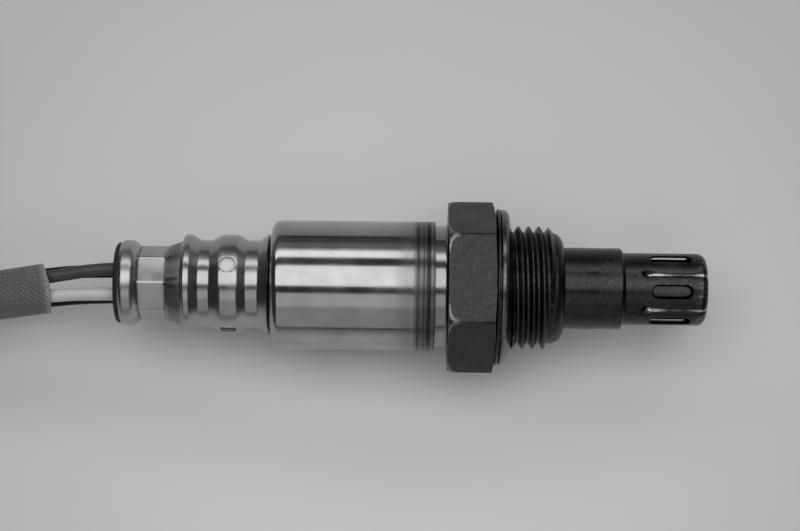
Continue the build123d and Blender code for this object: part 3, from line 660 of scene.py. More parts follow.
def braid_finish(name, colour, strands, diameter):
    """Varnished glass-fibre braid: fine diagonal strands with fibres along each, frayed at the mouth."""
    made, tree, shader = material(name)
    pitch = strands * 1000 / (math.pi * diameter)
    weave = use(tree, "Braid", Strands=float(strands), Pitch=pitch)
    place = object_place(tree)
    fuzz = patches(tree, place, 5200.0, 4.0, 0.7)
    patch = patches(tree, place, 260.0, 3.0)
    light = tint(colour, 1.55)
    base = blend(tree, ranged(tree, fuzz, 0.3, 0.72), tint(colour, 0.75), light)
    base = blend(tree, times(tree, weave["Strand"], 0.35), base, tint(colour, 0.8))
    base = blend(tree, times(tree, ranged(tree, patch, 0.35, 0.7), 0.3), base, light)
    from_mouth = parts_of(tree, add(tree, "UVMap").outputs[0])["Y"]
    ragged = plus(tree, from_mouth, times(tree, fuzz, 1.2 * MM))
    frayed = ranged(tree, ragged, 0.7 * MM, 1.6 * MM, 1.0, 0.0)
    base = blend(tree, times(tree, weave["Gap"], 0.6), base, tint(colour, 0.3))
    looks = {
        "Base Color": blend(tree, times(tree, frayed, 0.7), base, tint(colour, 3.2)),
        "Roughness": ranged(tree, fuzz, 0.2, 0.8, 0.42, 0.7),
        "Sheen Weight": 0.15,
        "Normal": relief(tree, plus(tree, weave["Height"], times(tree, fuzz, 0.35)), 0.00022, 0.8),
    }
    feed(tree, shader.inputs, looks)
    return made


# Heat marks beside the main cover's weld to the neck, and painted shade at the root of its tube's lip,
# where the slope faces away from the lamps.
WELD_BANDS = [
    (-16.2, -10.9, 0.3, 1.4),
    (-14.2, -10.9, 0.74, 0.8),
    (-13.75, -13.2, 0.86, 0.12),
    (-12.85, -12.45, 0.9, 0.12),
    (-12.3, -11.6, 1.0, 0.1),
    (-11.35, -11.0, 0.88, 0.1),
]
LIP_PAINTED_SHADE = [(-49.9, -47.95, 0.5, 0.4)]
FINISHES = {}


def build_finishes(colours, sizes):
    """Every finish of the sensor, by name."""
    for effect in (worn_edges, corner_arcs, flecks, turned_grain, braid):
        effect()
    dark, bright = colours.housing, colours.bright
    # The gasket's cup wears the gasket steel painted 2.6 times lighter and smoother: the lightness is
    # painted light, so its reflection of the lamps shows brighter than the leaves'.
    cup, inner = tint(dark, 2.6), tint(colours.nose, 2.2)
    made = {
        "housing": dark_steel("Housing steel", dark, rough=(0.3, 0.5), arcs=0.5),
        "neck": bright_steel("Neck steel", tint(bright, 0.8), (0.12, 0.2)),
        "gasket": dark_steel("Gasket steel", dark, wear=0.45, rough=(0.25, 0.42)),
        "cup": dark_steel("Gasket cup steel with painted light", cup, wear=0.3, rough=(0.2, 0.3)),
        "nose": dark_steel("Nose steel", colours.nose, wear=1.0, rough=(0.24, 0.4), speck=0.34),
        "inner": slot_shaded_steel("Inner cover steel", inner),
        "cover": bright_steel("Main cover steel", bright, (0.1, 0.17), WELD_BANDS),
        # The crimped tube carries painted shade at the root of its lip.
        "tube": bright_steel("Crimped tube steel", tint(bright, 1.1), (0.24, 0.34), LIP_PAINTED_SHADE),
        "filter_cover": bright_steel("Filter cover steel", bright, (0.18, 0.28)),
        "strip": plain("Plated strip", (0.6, 0.58, 0.54), 0.3, metallic=1.0),
        "ceramic": plain("White ceramic", (0.82, 0.81, 0.78), 0.6),
        "talc": plain("Pressed talc", (0.7, 0.7, 0.66), 0.85),
        "filter": plain("White filter", (0.88, 0.88, 0.87), 0.6, vary=0.03),
        "rubber": plain("Black rubber", colours.rubber, 0.6, vary=0.25, shine=0.2),
        "grey_wire": plain("Grey insulation", colours.grey_wire, 0.38, 0.1, 500),
        "white_wire": plain("White insulation", colours.white_wire, 0.38, 0.05, 500),
        "black_wire": plain("Black insulation", colours.black_wire, 0.42, 0.2, 500, shine=0.15),
        "braid": braid_finish("Braided sleeve", colours.sleeve, sizes.braid_strands, sizes.sleeve),
        "nylon": plain("Black nylon", (0.02, 0.02, 0.02), 0.42),
        "plug": plain("Plug plastic", (0.05, 0.05, 0.052), 0.45),
        "retainer": plain("Retainer plastic", (0.42, 0.42, 0.41), 0.45),
        "seal": plain("Plug seal rubber", (0.28, 0.28, 0.27), 0.6),
    }
    FINISHES.update(made)


# ---------------------------------------------------------------- stage
# The camera's height in degrees, its roll, its distance and the point it looks at.
CAMERA_HEIGHT = 82.7
CAMERA_ROLL = 0.72
CAMERA_DISTANCE = 290
CAMERA_TARGET = Vector((-16.1, 3.05, 0))
CAMERA_LENS = 88.6

# The floor's height, half its width in metres, and the even light of the room.
FLOOR = -11.5
FLOOR_HALF = 1.6
ROOM_LIGHT = 0.045

# Soft lamps over the sensor, each between two leans from straight up toward +Y, with its brightness
# and its half angle along the sensor. All angles are in degrees.
LAMP_DISTANCE = 0.6
LAMP_MIDDLE = Vector((-16 * MM, 0, 0))
LAMPS = (
    ("key", -8.4, 27.9, 1.7, 38),
    ("side", 43.3, 56.5, 1.9, 38),
    ("side_edge", 56.5, 61.0, 0.75, 38),
    ("fill_high", -45.0, -21.0, 0.66, 28),
    ("fill_low", -87.0, -45.0, 0.4, 28),
    ("wall_low", 62.5, 74.0, 0.19, 55),
    ("wall_high", 74.0, 86.0, 0.06, 55),
)


class SENSOR_OT_stage(bpy.types.Operator):
    """Camera, floor and lamps"""

    bl_idname = "sensor.stage"
    bl_label = "Stage"

    def execute(self, context):
        scene = context.scene
        scene.view_settings.view_transform = "Standard"
        self.camera(scene)
        bm = bmesh.new()
        bmesh.ops.create_grid(bm, x_segments=1, y_segments=1, size=FLOOR_HALF)
        bmesh.ops.translate(bm, verts=bm.verts, vec=(0, 0, FLOOR * MM))
        table = place_object("table", store_mesh("table", bm))
        table.data.materials.append(self.table_finish(scene.sensor_colours.table))
        for lamp in LAMPS:
            self.panel(*lamp)
        world = bpy.data.worlds.new("room")
        scene.world = world
        world.use_nodes = True
        light = {0: (ROOM_LIGHT, ROOM_LIGHT, ROOM_LIGHT, 1), 1: 1.0}
        feed(world.node_tree, world.node_tree.nodes["Background"].inputs, light)
        return {"FINISHED"}

    def camera(self, scene):
        """Looks down on the sensor from a little in front of it."""
        elevation, roll = math.radians(CAMERA_HEIGHT), math.radians(CAMERA_ROLL)
        sight = Vector((0, math.cos(elevation), -math.sin(elevation)))
        level_up = Vector((0, math.sin(elevation), math.cos(elevation)))
        right = AXIS * math.cos(roll) + level_up * math.sin(roll)
        up = level_up * math.cos(roll) - AXIS * math.sin(roll)
        camera = place_object("camera", bpy.data.cameras.new("camera"))
        camera.data.sensor_width = 36
        camera.data.lens = CAMERA_LENS
        camera.data.clip_start = 0.01
        turned = Matrix((right, up, -sight)).transposed().to_4x4()
        place = CAMERA_TARGET * MM - sight * (CAMERA_DISTANCE * MM)
        camera.matrix_world = Matrix.Translation(place) @ turned
        scene.camera = camera

    def table_finish(self, colour):
        """Matt pale board, painted darker a little away from the sensor: a painted fall-off of the lamps'
        light.
        """
        middle, most, quickness = (-0.016, -0.02, FLOOR * MM), 0.4, 150.0
        made, tree, shader = material("Table")
        place = object_place(tree)
        centre = add(tree, "VectorMath", {0: place, 1: middle}, operation="SUBTRACT").outputs[0]
        away = add(tree, "VectorMath", {0: centre}, operation="LENGTH").outputs["Value"]
        patch = patches(tree, place, 40.0, 2.0)
        # Painted light fall-off: the board's colour darkens with distance from the sensor, as the lamps'
        # light would.
        left = maths(tree, "POWER", math.e, times(tree, times(tree, away, away), -quickness))
        shade = times(tree, minus(tree, 1.0, left), most)
        shade = plus(tree, shade, times(tree, minus(tree, patch, 0.5), 0.03))
        black = (0.0, 0.0, 0.0)
        feed(tree, shader.inputs, {"Base Color": blend(tree, shade, colour, black), "Roughness": 0.75})
        return made

    def panel(self, name, start, end, brightness, spread):
        """Hangs one of the soft lamps, square to its middle."""
        angle, half = math.radians(start + end) / 2, math.radians(end - start) / 2
        lamp = bpy.data.lights.new(name, "AREA")
        lamp.shape = "RECTANGLE"
        lamp.size = 2 * LAMP_DISTANCE * math.tan(math.radians(spread))
        lamp.size_y = 2 * LAMP_DISTANCE * math.tan(half)
        lamp.energy = math.pi * brightness * lamp.size * lamp.size_y
        away = Vector((0, math.sin(angle), math.cos(angle)))
        side = Vector((0, math.cos(angle), -math.sin(angle)))
        turned = Matrix((AXIS, side, away)).transposed().to_4x4()
        holder = place_object(name, lamp)
        holder.matrix_world = Matrix.Translation(LAMP_MIDDLE + away * LAMP_DISTANCE) @ turned


# ---------------------------------------------------------------- housing
# The hexagon's front face along the axis and its corners' distance from the axis.
SEAT = -2.2
CORNER_OUT = 12.62

# The housing's outline as along, radius and bend, from the hexagon's rear forward and back inside.
HOUSING_LINE = [
    (HEXAGON_REAR, 12.35, 0.08),
    (-8.25, CORNER_OUT, 0.1),
    (-2.5, CORNER_OUT, 0.1),
    (SEAT, 10.6, 0.1),
    (SEAT, 8.1, 0),
    (5.9, 8.1, 0),
    (6.28, 8.09, 0),
    (6.6, 8.0, 0),
    (6.87, 7.87, 0),
    (7.1, 7.7, 0),
    (7.3, 7.5, 0),
    (7.47, 7.25, 0),
    (7.62, 6.95, 0),
    (7.72, 6.6, 0),
    (7.78, 6.2, 0),
    (7.78, 6.0, 0),
    (6.3, 6.0, 0),
    (6.3, 7.0, 0),
    (4.6, 7.0, 0),
    (4.6, 5.45, 0),
    (-4.0, 5.45, 0),
    (-4.0, 7.3, 0),
    (-13.1, 7.3, 0),
    (-13.1, 6.3, 0),
    (-14.5, 6.3, 0),
    (-14.5, 8.95, 0.3),
    (HEXAGON_REAR, 8.95, 0.55),
]


class SENSOR_OT_housing(bpy.types.Operator):
    """Hexagon, neck, rounded front and right-hand thread"""

    bl_idname = "sensor.housing"
    bl_label = "Housing"

    def execute(self, context):
        sizes = context.scene.sensor_sizes
        bar = turned_piece(HOUSING_LINE, steps=144)
        for side in range(6):
            angle = math.radians(60 * side)
            out = Vector((0, math.sin(angle), math.cos(angle)))
            rim = saw_off(bar, out * (sizes.hexagon / 2), out)
            bmesh.ops.contextual_create(bar, geom=rim)
        bmesh.ops.recalc_face_normals(bar, faces=bar.faces)
        soften(bar, 0.13, least=18, segments=3, chosen=self.on_hexagon)
        join(bar, self.thread(sizes))
        for face in bar.faces:
            if face.calc_center_median().x < HEXAGON_REAR - 0.25:
                face.material_index = 1
        finishes = [FINISHES["housing"], FINISHES["neck"]]
        slot = "dark_steel"
        finish(bar, "threaded_body", finishes, slot, "housing", crease=34, weight=self.handled)
        return {"FINISHED"}

    @staticmethod
    def on_hexagon(edge):
        """Whether an edge lies on the hexagon."""
        ends = [vert.co for vert in edge.verts]
        return all(HEXAGON_REAR - 0.1 < end.x < SEAT + 0.1 and radius_of(end) > 10.9 for end in ends)

    @staticmethod
    def handled(place):
        """How strongly an edge at that place has been rubbed: most on the hexagon's rear corners."""
        if place.x < -8.0:
            return 5.0 if radius_of(place) > 12.0 else 1.0
        return 0.5 if place.x < -2.0 else 0.3 if place.x < 5.6 else 0.05

    def thread(self, sizes):
        """One tooth swept round and along, trimmed to length and run out at both ends."""
        pitch, crest, core, hidden = sizes.thread_pitch, 9.0, 8.12, 8.0
        first, last, turns, steps = 0.06, 6.3, 6, 132
        root = crest - sizes.thread_depth
        start = sizes.crest_place - 2.5 * pitch
        tooth = [
            (start, root, 0),
            (start + 0.16, root, 0.16),
            (start + 0.64, crest, 0.09),
            (start + 0.86, crest, 0.09),
            (start + 1.34, root, 0.16),
            (start + pitch, root, 0),
        ]
        bm = bmesh.new()
        profile(bm, tooth, segments=3)
        bmesh.ops.spin(
            bm,
            geom=bm.verts[:] + bm.edges[:],
            cent=(0, 0, 0),
            axis=AXIS,
            dvec=(pitch / steps, 0, 0),
            angle=TURN * turns,
            steps=steps * turns,
            use_merge=False,
        )
        bmesh.ops.remove_doubles(bm, verts=bm.verts, dist=1e-3)
        saw_off(bm, (first, 0, 0), (-1, 0, 0))
        saw_off(bm, (last, 0, 0), (1, 0, 0))
        for vert in bm.verts:
            radius = radius_of(vert.co)
            limit = min(8.5 + 1.1 * vert.co.x, crest, crest - 1.25 * (vert.co.x - 5.5))
            limit = max(limit, core)
            if radius > limit:
                draw_in(vert, limit / radius)
        rims = [edge for edge in bm.edges if edge.is_boundary]
        for vert in bmesh.ops.extrude_edge_only(bm, edges=rims)["geom"]:
            if isinstance(vert, bmesh.types.BMVert):
                draw_in(vert, hidden / radius_of(vert.co))
        face_outwards(bm)
        return bm


class SENSOR_OT_gasket(bpy.types.Operator):
    """Folded crush gasket with its thin leaves"""

    bl_idname = "sensor.gasket"
    bl_label = "Gasket"

    def execute(self, context):
        leaf = [(SEAT, 8.6, 0), (SEAT, 11.5, 0.2), (-1.76, 11.5, 0.2), (-1.76, 8.6, 0)]
        web = [(-2.1, 8.6, 0), (-2.1, 9.2, 0), (-0.5, 9.2, 0), (-0.5, 8.6, 0)]
        cup = [
            (-1.52, 9.1, 0),
            (-1.52, 11.42, 0.18),
            (-0.8, 11.4, 0.15),
            (-0.35, 11.1, 0.25),
            (-0.1, 10.5, 0.4),
            (0, 9.9, 0.5),
            (0, 9.1, 0),
        ]
        bm = turned_piece(leaf, web, cup, steps=180)
        self.crush(bm)
        # The cup takes the lighter copy of the gasket steel: painted light.
        for face in bm.faces:
            face.material_index = 1 if face.calc_center_median().x > -1.5 else 0
        finishes = [FINISHES["gasket"], FINISHES["cup"]]
        lip_worn = lambda place: 0.35 if -1.9 < place.x < -1.5 else 0.1
        finish(bm, "crush_gasket", finishes, "gasket_steel", "gasket", weight=lip_worn)
        return {"FINISHED"}

    def crush(self, bm):
        """Makes the leaves uneven: squeezed closer on one side, wavy, and nicked at one place."""
        root, rim, cup_back = 9.4, 10.5, -1.6
        nick_at, nick_wide, nick_deep = 74, 2.4, 0.28
        for vert in bm.verts:
            radius = radius_of(vert.co)
            angle = math.atan2(vert.co.y, vert.co.z)
            side, up = math.sin(angle), math.cos(angle)
            if radius > root:
                share = (radius - root) / 2.1
                if vert.co.x > cup_back:
                    squeeze = 0.6 * share * max(0, -side) ** 1.5
                    shift = 0.04 * share * max(0, side) - squeeze * (vert.co.x - cup_back)
                    shift -= 0.25 * max(0, up) * (vert.co.x - cup_back)
                else:
                    shift = 0.22 * share * max(0, side)
                vert.co.x += shift + 0.03 * share * noise.noise((3 * side, 3 * up, 5.0))
            if radius > rim:
                dip = 0.05 * noise.noise((2.2 * side, 2.2 * up, 0.0))
                past = (math.degrees(angle) - nick_at) / nick_wide
                nick = math.exp(-past ** 2) if vert.co.x < -1.4 else 0
                draw_in(vert, (radius - abs(dip) - nick_deep * nick) / radius)


# ---------------------------------------------------------------- nose
# The gas slots' middle along the axis, the first one's lean in degrees, and how many there are.
SLOT_MIDDLE = 23.35
SLOT_LEAN = 10.6
SLOTS = 6


class SENSOR_OT_nose(bpy.types.Operator):
    """Outer element cover with gas slots and pressed flutes, and the cover inside it"""

    bl_idname = "sensor.nose"
    bl_label = "Nose"

    def execute(self, context):
        sizes = context.scene.sensor_sizes
        line = [(5.75, 6.95, 0), (6.2, 6.95, 0), (6.25, 5.96, 0.3), (16.27, 5.96, 1.0), (16.6, 5.29, 0.04)]
        along = 18.2
        while along < 26.3:
            # The flutes' deep pits need closer rings than their runs.
            line.append((along, 5.28, 0))
            along += 0.14 if along < 21.2 else 0.5
        line += [(28.65, 5.28, 2.2), (28.65, 2.95, 0), (29.05, 1.0, 0.4), (29.05, 0, 0)]
        bm = bmesh.new()
        profile(bm, line, segments=9)
        turn(bm, steps=360)
        self.flute(bm, sizes)
        give_wall(bm, 0.36)
        bar = lambda: self.slot_bar(sizes)
        bm = cut(bm, ring_of(bar, SLOTS, SLOT_LEAN))
        around_slots = lambda edge: all(20.1 < v.co.x < 26.6 for v in edge.verts)
        soften(bm, 0.09, least=60, segments=2, chosen=around_slots)
        faint = lambda place: 0.12
        looks, slot = [FINISHES["nose"]], "nose_steel"
        finish(bm, "slotted_nose", looks, slot, "outer_element_cover", crease=50, weight=faint)
        self.inner_cover()
        return {"FINISHED"}

    def flute(self, bm, sizes):
        """Presses the flutes in. Each starts in a deep pit, runs on shallow with a flat floor, and
        dies out over the end's corner. Its floor is stored as rubbed bright metal, painted brighter at both
        ends as a highlight where the floor tilts."""
        half = sizes.flute_width / 2
        first_lean, apart = 41.2, 60
        pit_start, pit_reach, shallow, pit_extra = 19.95, 1.3, 0.2, 0.34
        rub = bm.verts.layers.float.new("rub")
        for vert in bm.verts:
            along = vert.co.x
            if along < 18.0:
                continue
            radius, lean = radius_of(vert.co), lean_of(vert.co)
            side = math.radians(past_nearest(lean, first_lean, apart)) * radius
            away = math.hypot(side / half, max(0, pit_start - along) / pit_reach)
            if 26.5 < along < 28.4:
                scuff = noise.noise((along * 0.5, lean * 0.25, 8.0))
                vert[rub] = max(0, 0.16 + 0.5 * scuff)
            if away < 1:
                deep = shallow + pit_extra * ease((21.0 - along) / 1.1)
                deep *= 1 - 0.85 * ease((along - 26.7) / 1.6)
                press = deep * (1 - ease((away - 0.25) / 0.75))
                out = Vector((0, vert.co.y, vert.co.z)).normalized()
                corner = ease((along - 27.4) / 1.4)
                fade = 1 - ease((5.0 - radius) / 1.4)
                vert.co -= (out * (1 - corner) + AXIS * corner).normalized() * press * fade
                # The floor is painted brightest at both ends: a painted highlight where it tilts up out of
                # its pit and over the end's corner.
                ends = max(1 - ease((along - 21.0) / 2.2), 0.6 * ease((along - 26.4) / 0.8))
                wide = 0.07 + 0.09 * ends
                floor = 1 - ease((abs(side - 0.17) - wide) / 0.16)
                grain = noise.noise((along * 0.9, lean * 0.05, 3.0))
                vert[rub] = floor * ease((along - 19.7) / 0.5) * (0.3 + 0.6 * ends + 0.3 * grain)

    def inner_cover(self):
        """The cover inside, with its gas holes; painted shade darkens it round each slot's outline, widest
        toward -Y and toward the nose's end.
        """
        outer, wall, tip, rim, hole = 4.4, 0.4, 28.2, 5.3, 1.0
        line = [(rim, 6.95, 0), (5.75, 6.95, 0), (5.75, outer, 0.2), (7.0, outer, 0)]
        # Rings close enough to carry the painted shade's outline behind the slots.
        line += [(19.6 + 0.22 * k, outer, 0) for k in range(34)]
        line += [(tip, outer, 1.1), (tip, hole, 0), (tip - wall, hole, 0)]
        line += [(tip - wall, outer - wall, 0.7), (rim, outer - wall, 0)]
        bm = turned_piece(line, steps=144)
        gas_hole = lambda: drill(0.75, 11.5, 4.2, segments=32)
        bm = cut(bm, ring_of(gas_hole, 6, 11.8))
        # Painted shade behind each slot's edges, wider on the side toward -Y and toward the nose's end.
        slot_shade = bm.verts.layers.float.new("slot_shade")
        for vert in bm.verts:
            side = math.radians(past_nearest(lean_of(vert.co), SLOT_LEAN, 60)) * 4.7
            past = max(0, abs(vert.co.x - SLOT_MIDDLE) - 2.0)
            inside = 1.05 - math.hypot(past, side)
            reach = 0.28 + 0.12 * ease(side / 0.4) + 0.14 * ease((vert.co.x - 24.6) / 0.8)
            vert[slot_shade] = 1 - ease(inside / reach - 0.25)
        looks, slot = [FINISHES["inner"]], "nose_steel"
        finish(bm, "gas_hole_cover", looks, slot, "inner_element_cover", crease=45)

    def slot_bar(self, sizes):
        """A bar with round ends that cuts one gas slot."""
        half = sizes.slot_width / 2
        reach = sizes.slot_length / 2 - half
        bar = bmesh.new()
        bmesh.ops.create_circle(bar, cap_ends=True, segments=48, radius=half)
        for vert in bar.verts:
            vert.co.x += reach if vert.co.x > 1e-6 else -reach
        tall = bmesh.ops.extrude_face_region(bar, geom=bar.faces[:])["geom"]
        moved = [v for v in tall if isinstance(v, bmesh.types.BMVert)]
        bmesh.ops.translate(bar, verts=moved, vec=(0, 0, 3))
        bmesh.ops.recalc_face_normals(bar, faces=bar.faces)
        bmesh.ops.translate(bar, verts=bar.verts, vec=(SLOT_MIDDLE, 0, 3.6))
        return bar


# ---------------------------------------------------------------- rear covers
TUBE = 5.45

# The crimped flats need rings at both ends of the jaws and between them.
CRIMP_RINGS = (-50.05, -50.15, -50.6, -51.2, -52.0, -52.9, -53.7, -54.1, -54.2)
COVER_LINE = [
    (-11.0, 9.5, 0),
    (-34.8, 9.5, 1.35),
    (-34.8, 5.8, 0.6),
    (-47.2, 5.8, 0.2),
    (-47.7, 6.3, 0.12),
    *((along, TUBE, 0) for along in CRIMP_RINGS),
    (-55.05, 6.27, 1.1),
    (-56.5, 6.28, 0.8),
    (-56.95, 5.85, 0),
]
FILTER_COVER_LINE = [
    (-47.92, 6.2, 0),
    (-47.55, 7.3, 0.55),
    (-46.6, 7.22, 0.5),
    (-45.2, 6.4, 0.55),
    (-43.7, 6.4, 0.6),
    (-42.1, 7.25, 1.6),
    (-39.75, 7.25, 1.3),
    (-38.35, 6.45, 0.5),
    (-36.65, 6.45, 0.5),
    (-35.3, 7.4, 0),
]


class SENSOR_OT_covers(bpy.types.Operator):
    """Main cover with its crimped tube, vented filter cover, white filter and grommet"""

    bl_idname = "sensor.covers"
    bl_label = "Covers"

    def execute(self, context):
        bm = sheet_piece(COVER_LINE, 0.55)
        self.crimp(bm)
        for face in bm.faces:
            face.material_index = 1 if face.calc_center_median().x < -35.5 else 0
        finishes, slot = [FINISHES["cover"], FINISHES["tube"]], "bright_steel"
        finish(bm, "rear_cover", finishes, slot, "main_cover", crease=42)

        bm = sheet_piece(FILTER_COVER_LINE, 0.45)
        vent = lambda: drill(1.2, -41.0, 7.2, segments=48)
        bm = cut(bm, ring_of(vent, 4, -17))
        near_vent = lambda edge: all(-42.6 < v.co.x < -39.8 for v in edge.verts)
        soften(bm, 0.12, least=55, segments=3, chosen=near_vent)
        finish(bm, "vented_cover", [FINISHES["filter_cover"]], slot, "filter_cover", crease=48)
        dress("vent_filter", FINISHES["filter"])
        dress("grommet", FINISHES["rubber"])
        return {"FINISHED"}

    def crimp(self, bm):
        """Presses eight flats into the tube over the grommet, with jaws that end squarely."""
        apart, first_flat = 45, 28.8
        for vert in bm.verts:
            if -54.15 < vert.co.x < -50.1 and radius_of(vert.co) < TUBE + 0.15:
                off = past_nearest(lean_of(vert.co), first_flat, apart)
                flat = math.cos(math.radians(apart / 2)) / math.cos(math.radians(off))
                bulge = 0.012 * math.cos(math.radians(4 * off))
                draw_in(vert, flat * (1 + bulge))


# ---------------------------------------------------------------- the lead's routes, in mm
WIRE_SIDES = [(1, 1), (-1, 1), (1, -1), (-1, -1)]
WIRE_LOOKS = ["grey_wire", "white_wire", "black_wire", "black_wire"]
MOUTH = Vector((-68.3, -0.95, -0.6))
AFTER_MOUTH = Vector((-83.0, -3.02, -2.2))
MOUTH_AIM = (AFTER_MOUTH - MOUTH).normalized()
MOUTH_SPOTS = [(1.45, 1.45), (-1.25, 1.6), (2.35, -0.45), (-1.6, -1.3)]
SLEEVE_END = Vector((-131.02, 1.56, 0))


def heading(degrees):
    """A flat direction, anticlockwise from +X."""
    return Vector((math.cos(math.radians(degrees)), math.sin(math.radians(degrees)), 0))


def smooth_line(name, points, resolution):
    """One smooth line through a route's points."""
    data = bpy.data.curves.new(name, "CURVE")
    data.dimensions = "3D"
    data.resolution_u = resolution
    spline = data.splines.new("NURBS")
    spline.points.add(len(points) - 1)
    for target, point in zip(spline.points, points):
        target.co = (*point, 1)
    spline.order_u = 3
    spline.use_endpoint_u = True
    return data


def wire_piece(name, points, radius, look, node):
    """A round wire along a route."""
    data = smooth_line(name, [point * MM for point in points], resolution=12)
    data.bevel_depth = radius * MM
    data.bevel_resolution = 6
    data.use_fill_caps = True
    return keep(place_object(name, data), [FINISHES[look]], look, node)


def line_points(points, resolution=14):
    """Points read along the smooth line of a route."""
    data = smooth_line("line", points, resolution)
    holder = place_object("line", data)
    graph = bpy.context.evaluated_depsgraph_get()
    mesh = bpy.data.meshes.new_from_object(holder.evaluated_get(graph))
    read = [vert.co.copy() for vert in mesh.vertices]
    bpy.data.objects.remove(holder)
    bpy.data.curves.remove(data)
    bpy.data.meshes.remove(mesh)
    return read


def route_length(points):
    """Length along a list of points."""
    return sum((b - a).length for a, b in zip(points, points[1:]))


# ---------------------------------------------------------------- lead
class SENSOR_OT_wires(bpy.types.Operator):
    """The four wires from the grommet into the sleeve, and from the sleeve to the plug"""

    bl_idname = "sensor.wires"
    bl_label = "Wires"

    def execute(self, context):
        radius = context.scene.sensor_sizes.wire / 2
        for k, (side, (across_y, across_z)) in enumerate(zip(WIRE_SIDES, MOUTH_SPOTS)):
            across = Vector((0, across_y, across_z))
            points = [
                Vector((-38.0, side[0] * 1.6, side[1] * 1.45)),
                Vector((-46.0, side[0] * 1.9, side[1] * 1.9)),
                Vector((-59.45, side[0] * 1.9, side[1] * 1.9)),
                MOUTH + across + Vector((1.0, 0.1, 0.05)),
                MOUTH + 0.93 * across + 11 * MOUTH_AIM,
            ]
            piece = wire_piece(f"wire_{k + 1}", points, radius, WIRE_LOOKS[k], f"lead_wire_{k + 1}")
            self.declare(piece, points, radius)
        for k, points in enumerate(self.tails()):
            piece = wire_piece(f"tail_{k + 1}", points, radius, WIRE_LOOKS[k], f"plug_wire_{k + 1}")
            self.declare(piece, points, radius)
        return {"FINISHED"}

    def declare(self, piece, points, radius):
        """Measures the length of a wire's route in metres; the result is not used."""
        route_length(line_points(points)) * MM

    def tails(self):
        """The wires' routes from the sleeve's end round to the plug's back. They leave the sleeve
        close together and spread to the plug's four ways by their fourth point."""
        bend, half_turn = 14, 26.65
        close, wide, high, plug_y = 1.15, 3.0, 2.5, 30.2
        headings = [160, 106.7, 53.3]
        tangent = bend * math.tan(math.radians(half_turn))
        middle = [SLEEVE_END + heading(headings[0]) * 0.1]
        for degrees, run in zip(headings, (4.6 + tangent, 2 * tangent, 2 * tangent)):
            middle.append(middle[-1] + heading(degrees) * run)
        last_y = middle[-1].y
        middle += [Vector((-129.7, last_y, 0)), Vector((-122.0, last_y, 0))]
        heights = [-6.8, -7.9, -8.3, -6.6, -4.5, -4.5]
        to_plug = Vector((0, plug_y - last_y, 0))
        routes = []
        for side in WIRE_SIDES:
            route = []
            for k, point in enumerate(middle):
                share = min(1, k / 3)
                across = side[0] * (close + (wide - close) * share)
                rise = side[1] * (close + (high - close) * share)
                if k == 0:
                    normal, stretch = heading(headings[0] + 90), 1
                elif k <= 3:
                    before = headings[k - 1]
                    after = headings[k] if k < 3 else 0
                    normal = heading((before + after) / 2 + 90)
                    stretch = 1 / math.cos(math.radians((before - after) / 2))
                else:
                    normal, stretch = heading(90), 1
                spot = point + normal * across * stretch
                moved = to_plug if k >= 4 else Vector()
                route.append(Vector((spot.x, spot.y, heights[k] + rise)) + moved)
            routes.append(route)
        return routes


class SENSOR_OT_sleeve(bpy.types.Operator):
    """The braided sleeve from its open mouth round the coil"""

    bl_idname = "sensor.sleeve"
    bl_label = "Sleeve"

    def execute(self, context):
        sizes = context.scene.sensor_sizes
        points = line_points(self.route(), resolution=10)
        bm = self.sweep(points, sizes.sleeve / 2)
        bmesh.ops.recalc_face_normals(bm, faces=bm.faces)
        give_wall(bm, 0.4)
        looks, nodes = [FINISHES["braid"]], ("sleeve_lead", "sleeve_coil")
        piece = finish(bm, "sleeve", looks, "braided_sleeve", *nodes, crease=60)
        return {"FINISHED"}

    def route(self):
        """The sleeve's route: down from the mouth to the floor, then round the coil."""
        on_floor = -6.8
        points = [
            MOUTH.copy(),
            AFTER_MOUTH.copy(),
            Vector((-98.66, -5.174, on_floor)),
            Vector((-114.5, -7.4, on_floor)),
        ]
        spot, way = points[-1].copy(), 188.0
        # The coil tightens with each quarter turn.
        for radius, sweep in ((39.6, 90), (37.75, 90), (35.9, 90), (34.05, 90), (32.2, 28)):
            pieces = max(1, round(sweep / 22.5))
            step = sweep / pieces
            tangent = radius * math.tan(math.radians(step / 2))
            for _ in range(pieces):
                corner = spot + heading(way) * tangent
                way -= step
                spot = corner + heading(way) * tangent
                points.append(corner)
        points.append(spot)
        return points

    def sweep(self, points, radius):
        """A ring carried along the points, with its place round and along stored for the weave. The
        mouth is a little flared, slanted and ragged."""
        flare, flare_reach, steps = 0.03, 4.0, 36
        bm = bmesh.new()
        weave = bm.loops.layers.uv.new("weave")
        rings, distances, run = [], [], 0.0
        side = Vector((0, 0, 1))
        for k, point in enumerate(points):
            ahead = points[min(k + 1, len(points) - 1)] - points[max(k - 1, 0)]
            ahead.normalize()
            side = (side - ahead * side.dot(ahead)).normalized()
            other = ahead.cross(side)
            near = math.exp(-run / flare_reach)
            ring = []
            for j in range(steps):
                angle = TURN * j / steps
                spoke = side * math.cos(angle) + other * math.sin(angle)
                spoke = spoke * radius * (1 + flare * near)
                push = 0.3 * spoke.z + 0.5 - 0.12 * max(0, spoke.y)
                ragged = 0.14 * noise.noise((j * 1.7, 0.0, 4.0)) if k == 0 else 0
                ring.append(bm.verts.new(point + spoke - ahead * (push * near + ragged)))
            rings.append(ring)
            distances.append(run)
            if k + 1 < len(points):
                run += (points[k + 1] - point).length
        for k in range(len(rings) - 1):
            for j in range(steps):
                n = (j + 1) % steps
                face = bm.faces.new((rings[k][j], rings[k][n], rings[k + 1][n], rings[k + 1][j]))
                spots = ((j, k), (j + 1, k), (j + 1, k + 1), (j, k + 1))
                for loop, (u, v) in zip(face.loops, spots):
                    loop[weave].uv = (u / steps, distances[v] * MM)
        return bm


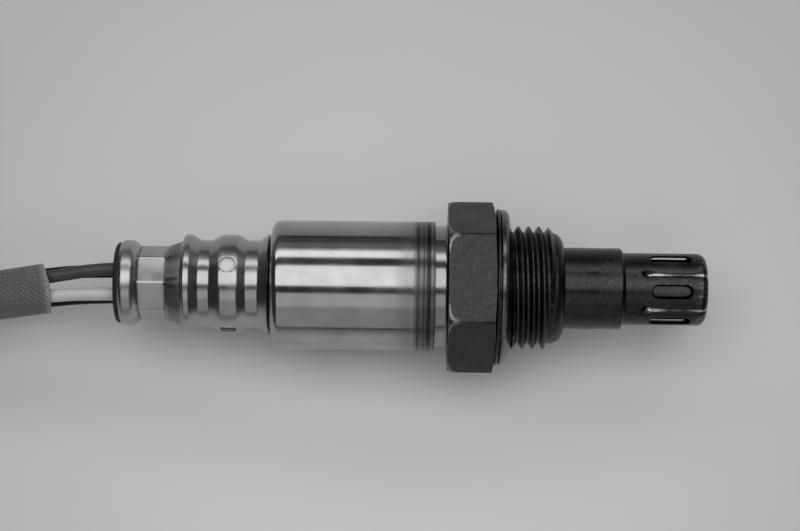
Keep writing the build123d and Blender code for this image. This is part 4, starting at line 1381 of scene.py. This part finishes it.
# The CAD nodes that show as they are, under the finish that each wears.
PLAIN_NODES = {
    "nylon": ("coil_tie",),
    "plug": ("plug_body",),
    "retainer": ("plug_retainer",),
    "seal": ("plug_seal", "wire_seals"),
    "strip": ("plug_contacts", "contact_1", "contact_2", "contact_3", "contact_4"),
    "ceramic": ("sensing_element", "front_insulator", "crimp_insulator", "rear_insulator"),
    "talc": ("seal_powder",),
    "gasket": ("packing_washer", "crimp_ring"),
    "filter_cover": ("disc_spring",),
}


class SENSOR_OT_plug(bpy.types.Operator):
    """Coil tie, plug and the pieces inside the sensor"""

    bl_idname = "sensor.plug"
    bl_label = "Tie, plug and inner pieces"

    def execute(self, context):
        for look, nodes in PLAIN_NODES.items():
            for node in nodes:
                dress(node, FINISHES[look])
        return {"FINISHED"}


class SENSOR_PT_panel(bpy.types.Panel):
    """Lists the steps that dress the sensor"""

    bl_idname = "SENSOR_PT_panel"
    bl_label = "Oxygen sensor"
    bl_space_type = "VIEW_3D"
    bl_region_type = "UI"
    bl_category = "Oxygen sensor"

    def draw(self, context):
        for step in STEPS:
            self.layout.operator(step.bl_idname)
        for settings in (context.scene.sensor_sizes, context.scene.sensor_colours):
            for key in settings.__annotations__:
                self.layout.prop(settings, key)


STEPS = (
    SENSOR_OT_stage,
    SENSOR_OT_sleeve,
    SENSOR_OT_wires,
    SENSOR_OT_housing,
    SENSOR_OT_gasket,
    SENSOR_OT_nose,
    SENSOR_OT_covers,
    SENSOR_OT_plug,
)
CLASSES = (SensorSizes, SensorColours, *STEPS, SENSOR_PT_panel)


def register():
    """Registers the classes and gives the scene its sizes and colours."""
    for kind in CLASSES:
        bpy.utils.register_class(kind)
    bpy.types.Scene.sensor_sizes = PointerProperty(type=SensorSizes)
    bpy.types.Scene.sensor_colours = PointerProperty(type=SensorColours)


def unregister():
    """Takes the sizes, the colours and the classes away again."""
    del bpy.types.Scene.sensor_colours
    del bpy.types.Scene.sensor_sizes
    for kind in reversed(CLASSES):
        bpy.utils.unregister_class(kind)


def main():
    """Dresses the sensor step by step."""
    register()
    build_finishes(bpy.context.scene.sensor_colours, bpy.context.scene.sensor_sizes)
    for step in STEPS:
        family, action = step.bl_idname.split(".")
        getattr(getattr(bpy.ops, family), action)()


if __name__ == "__main__":
    main()
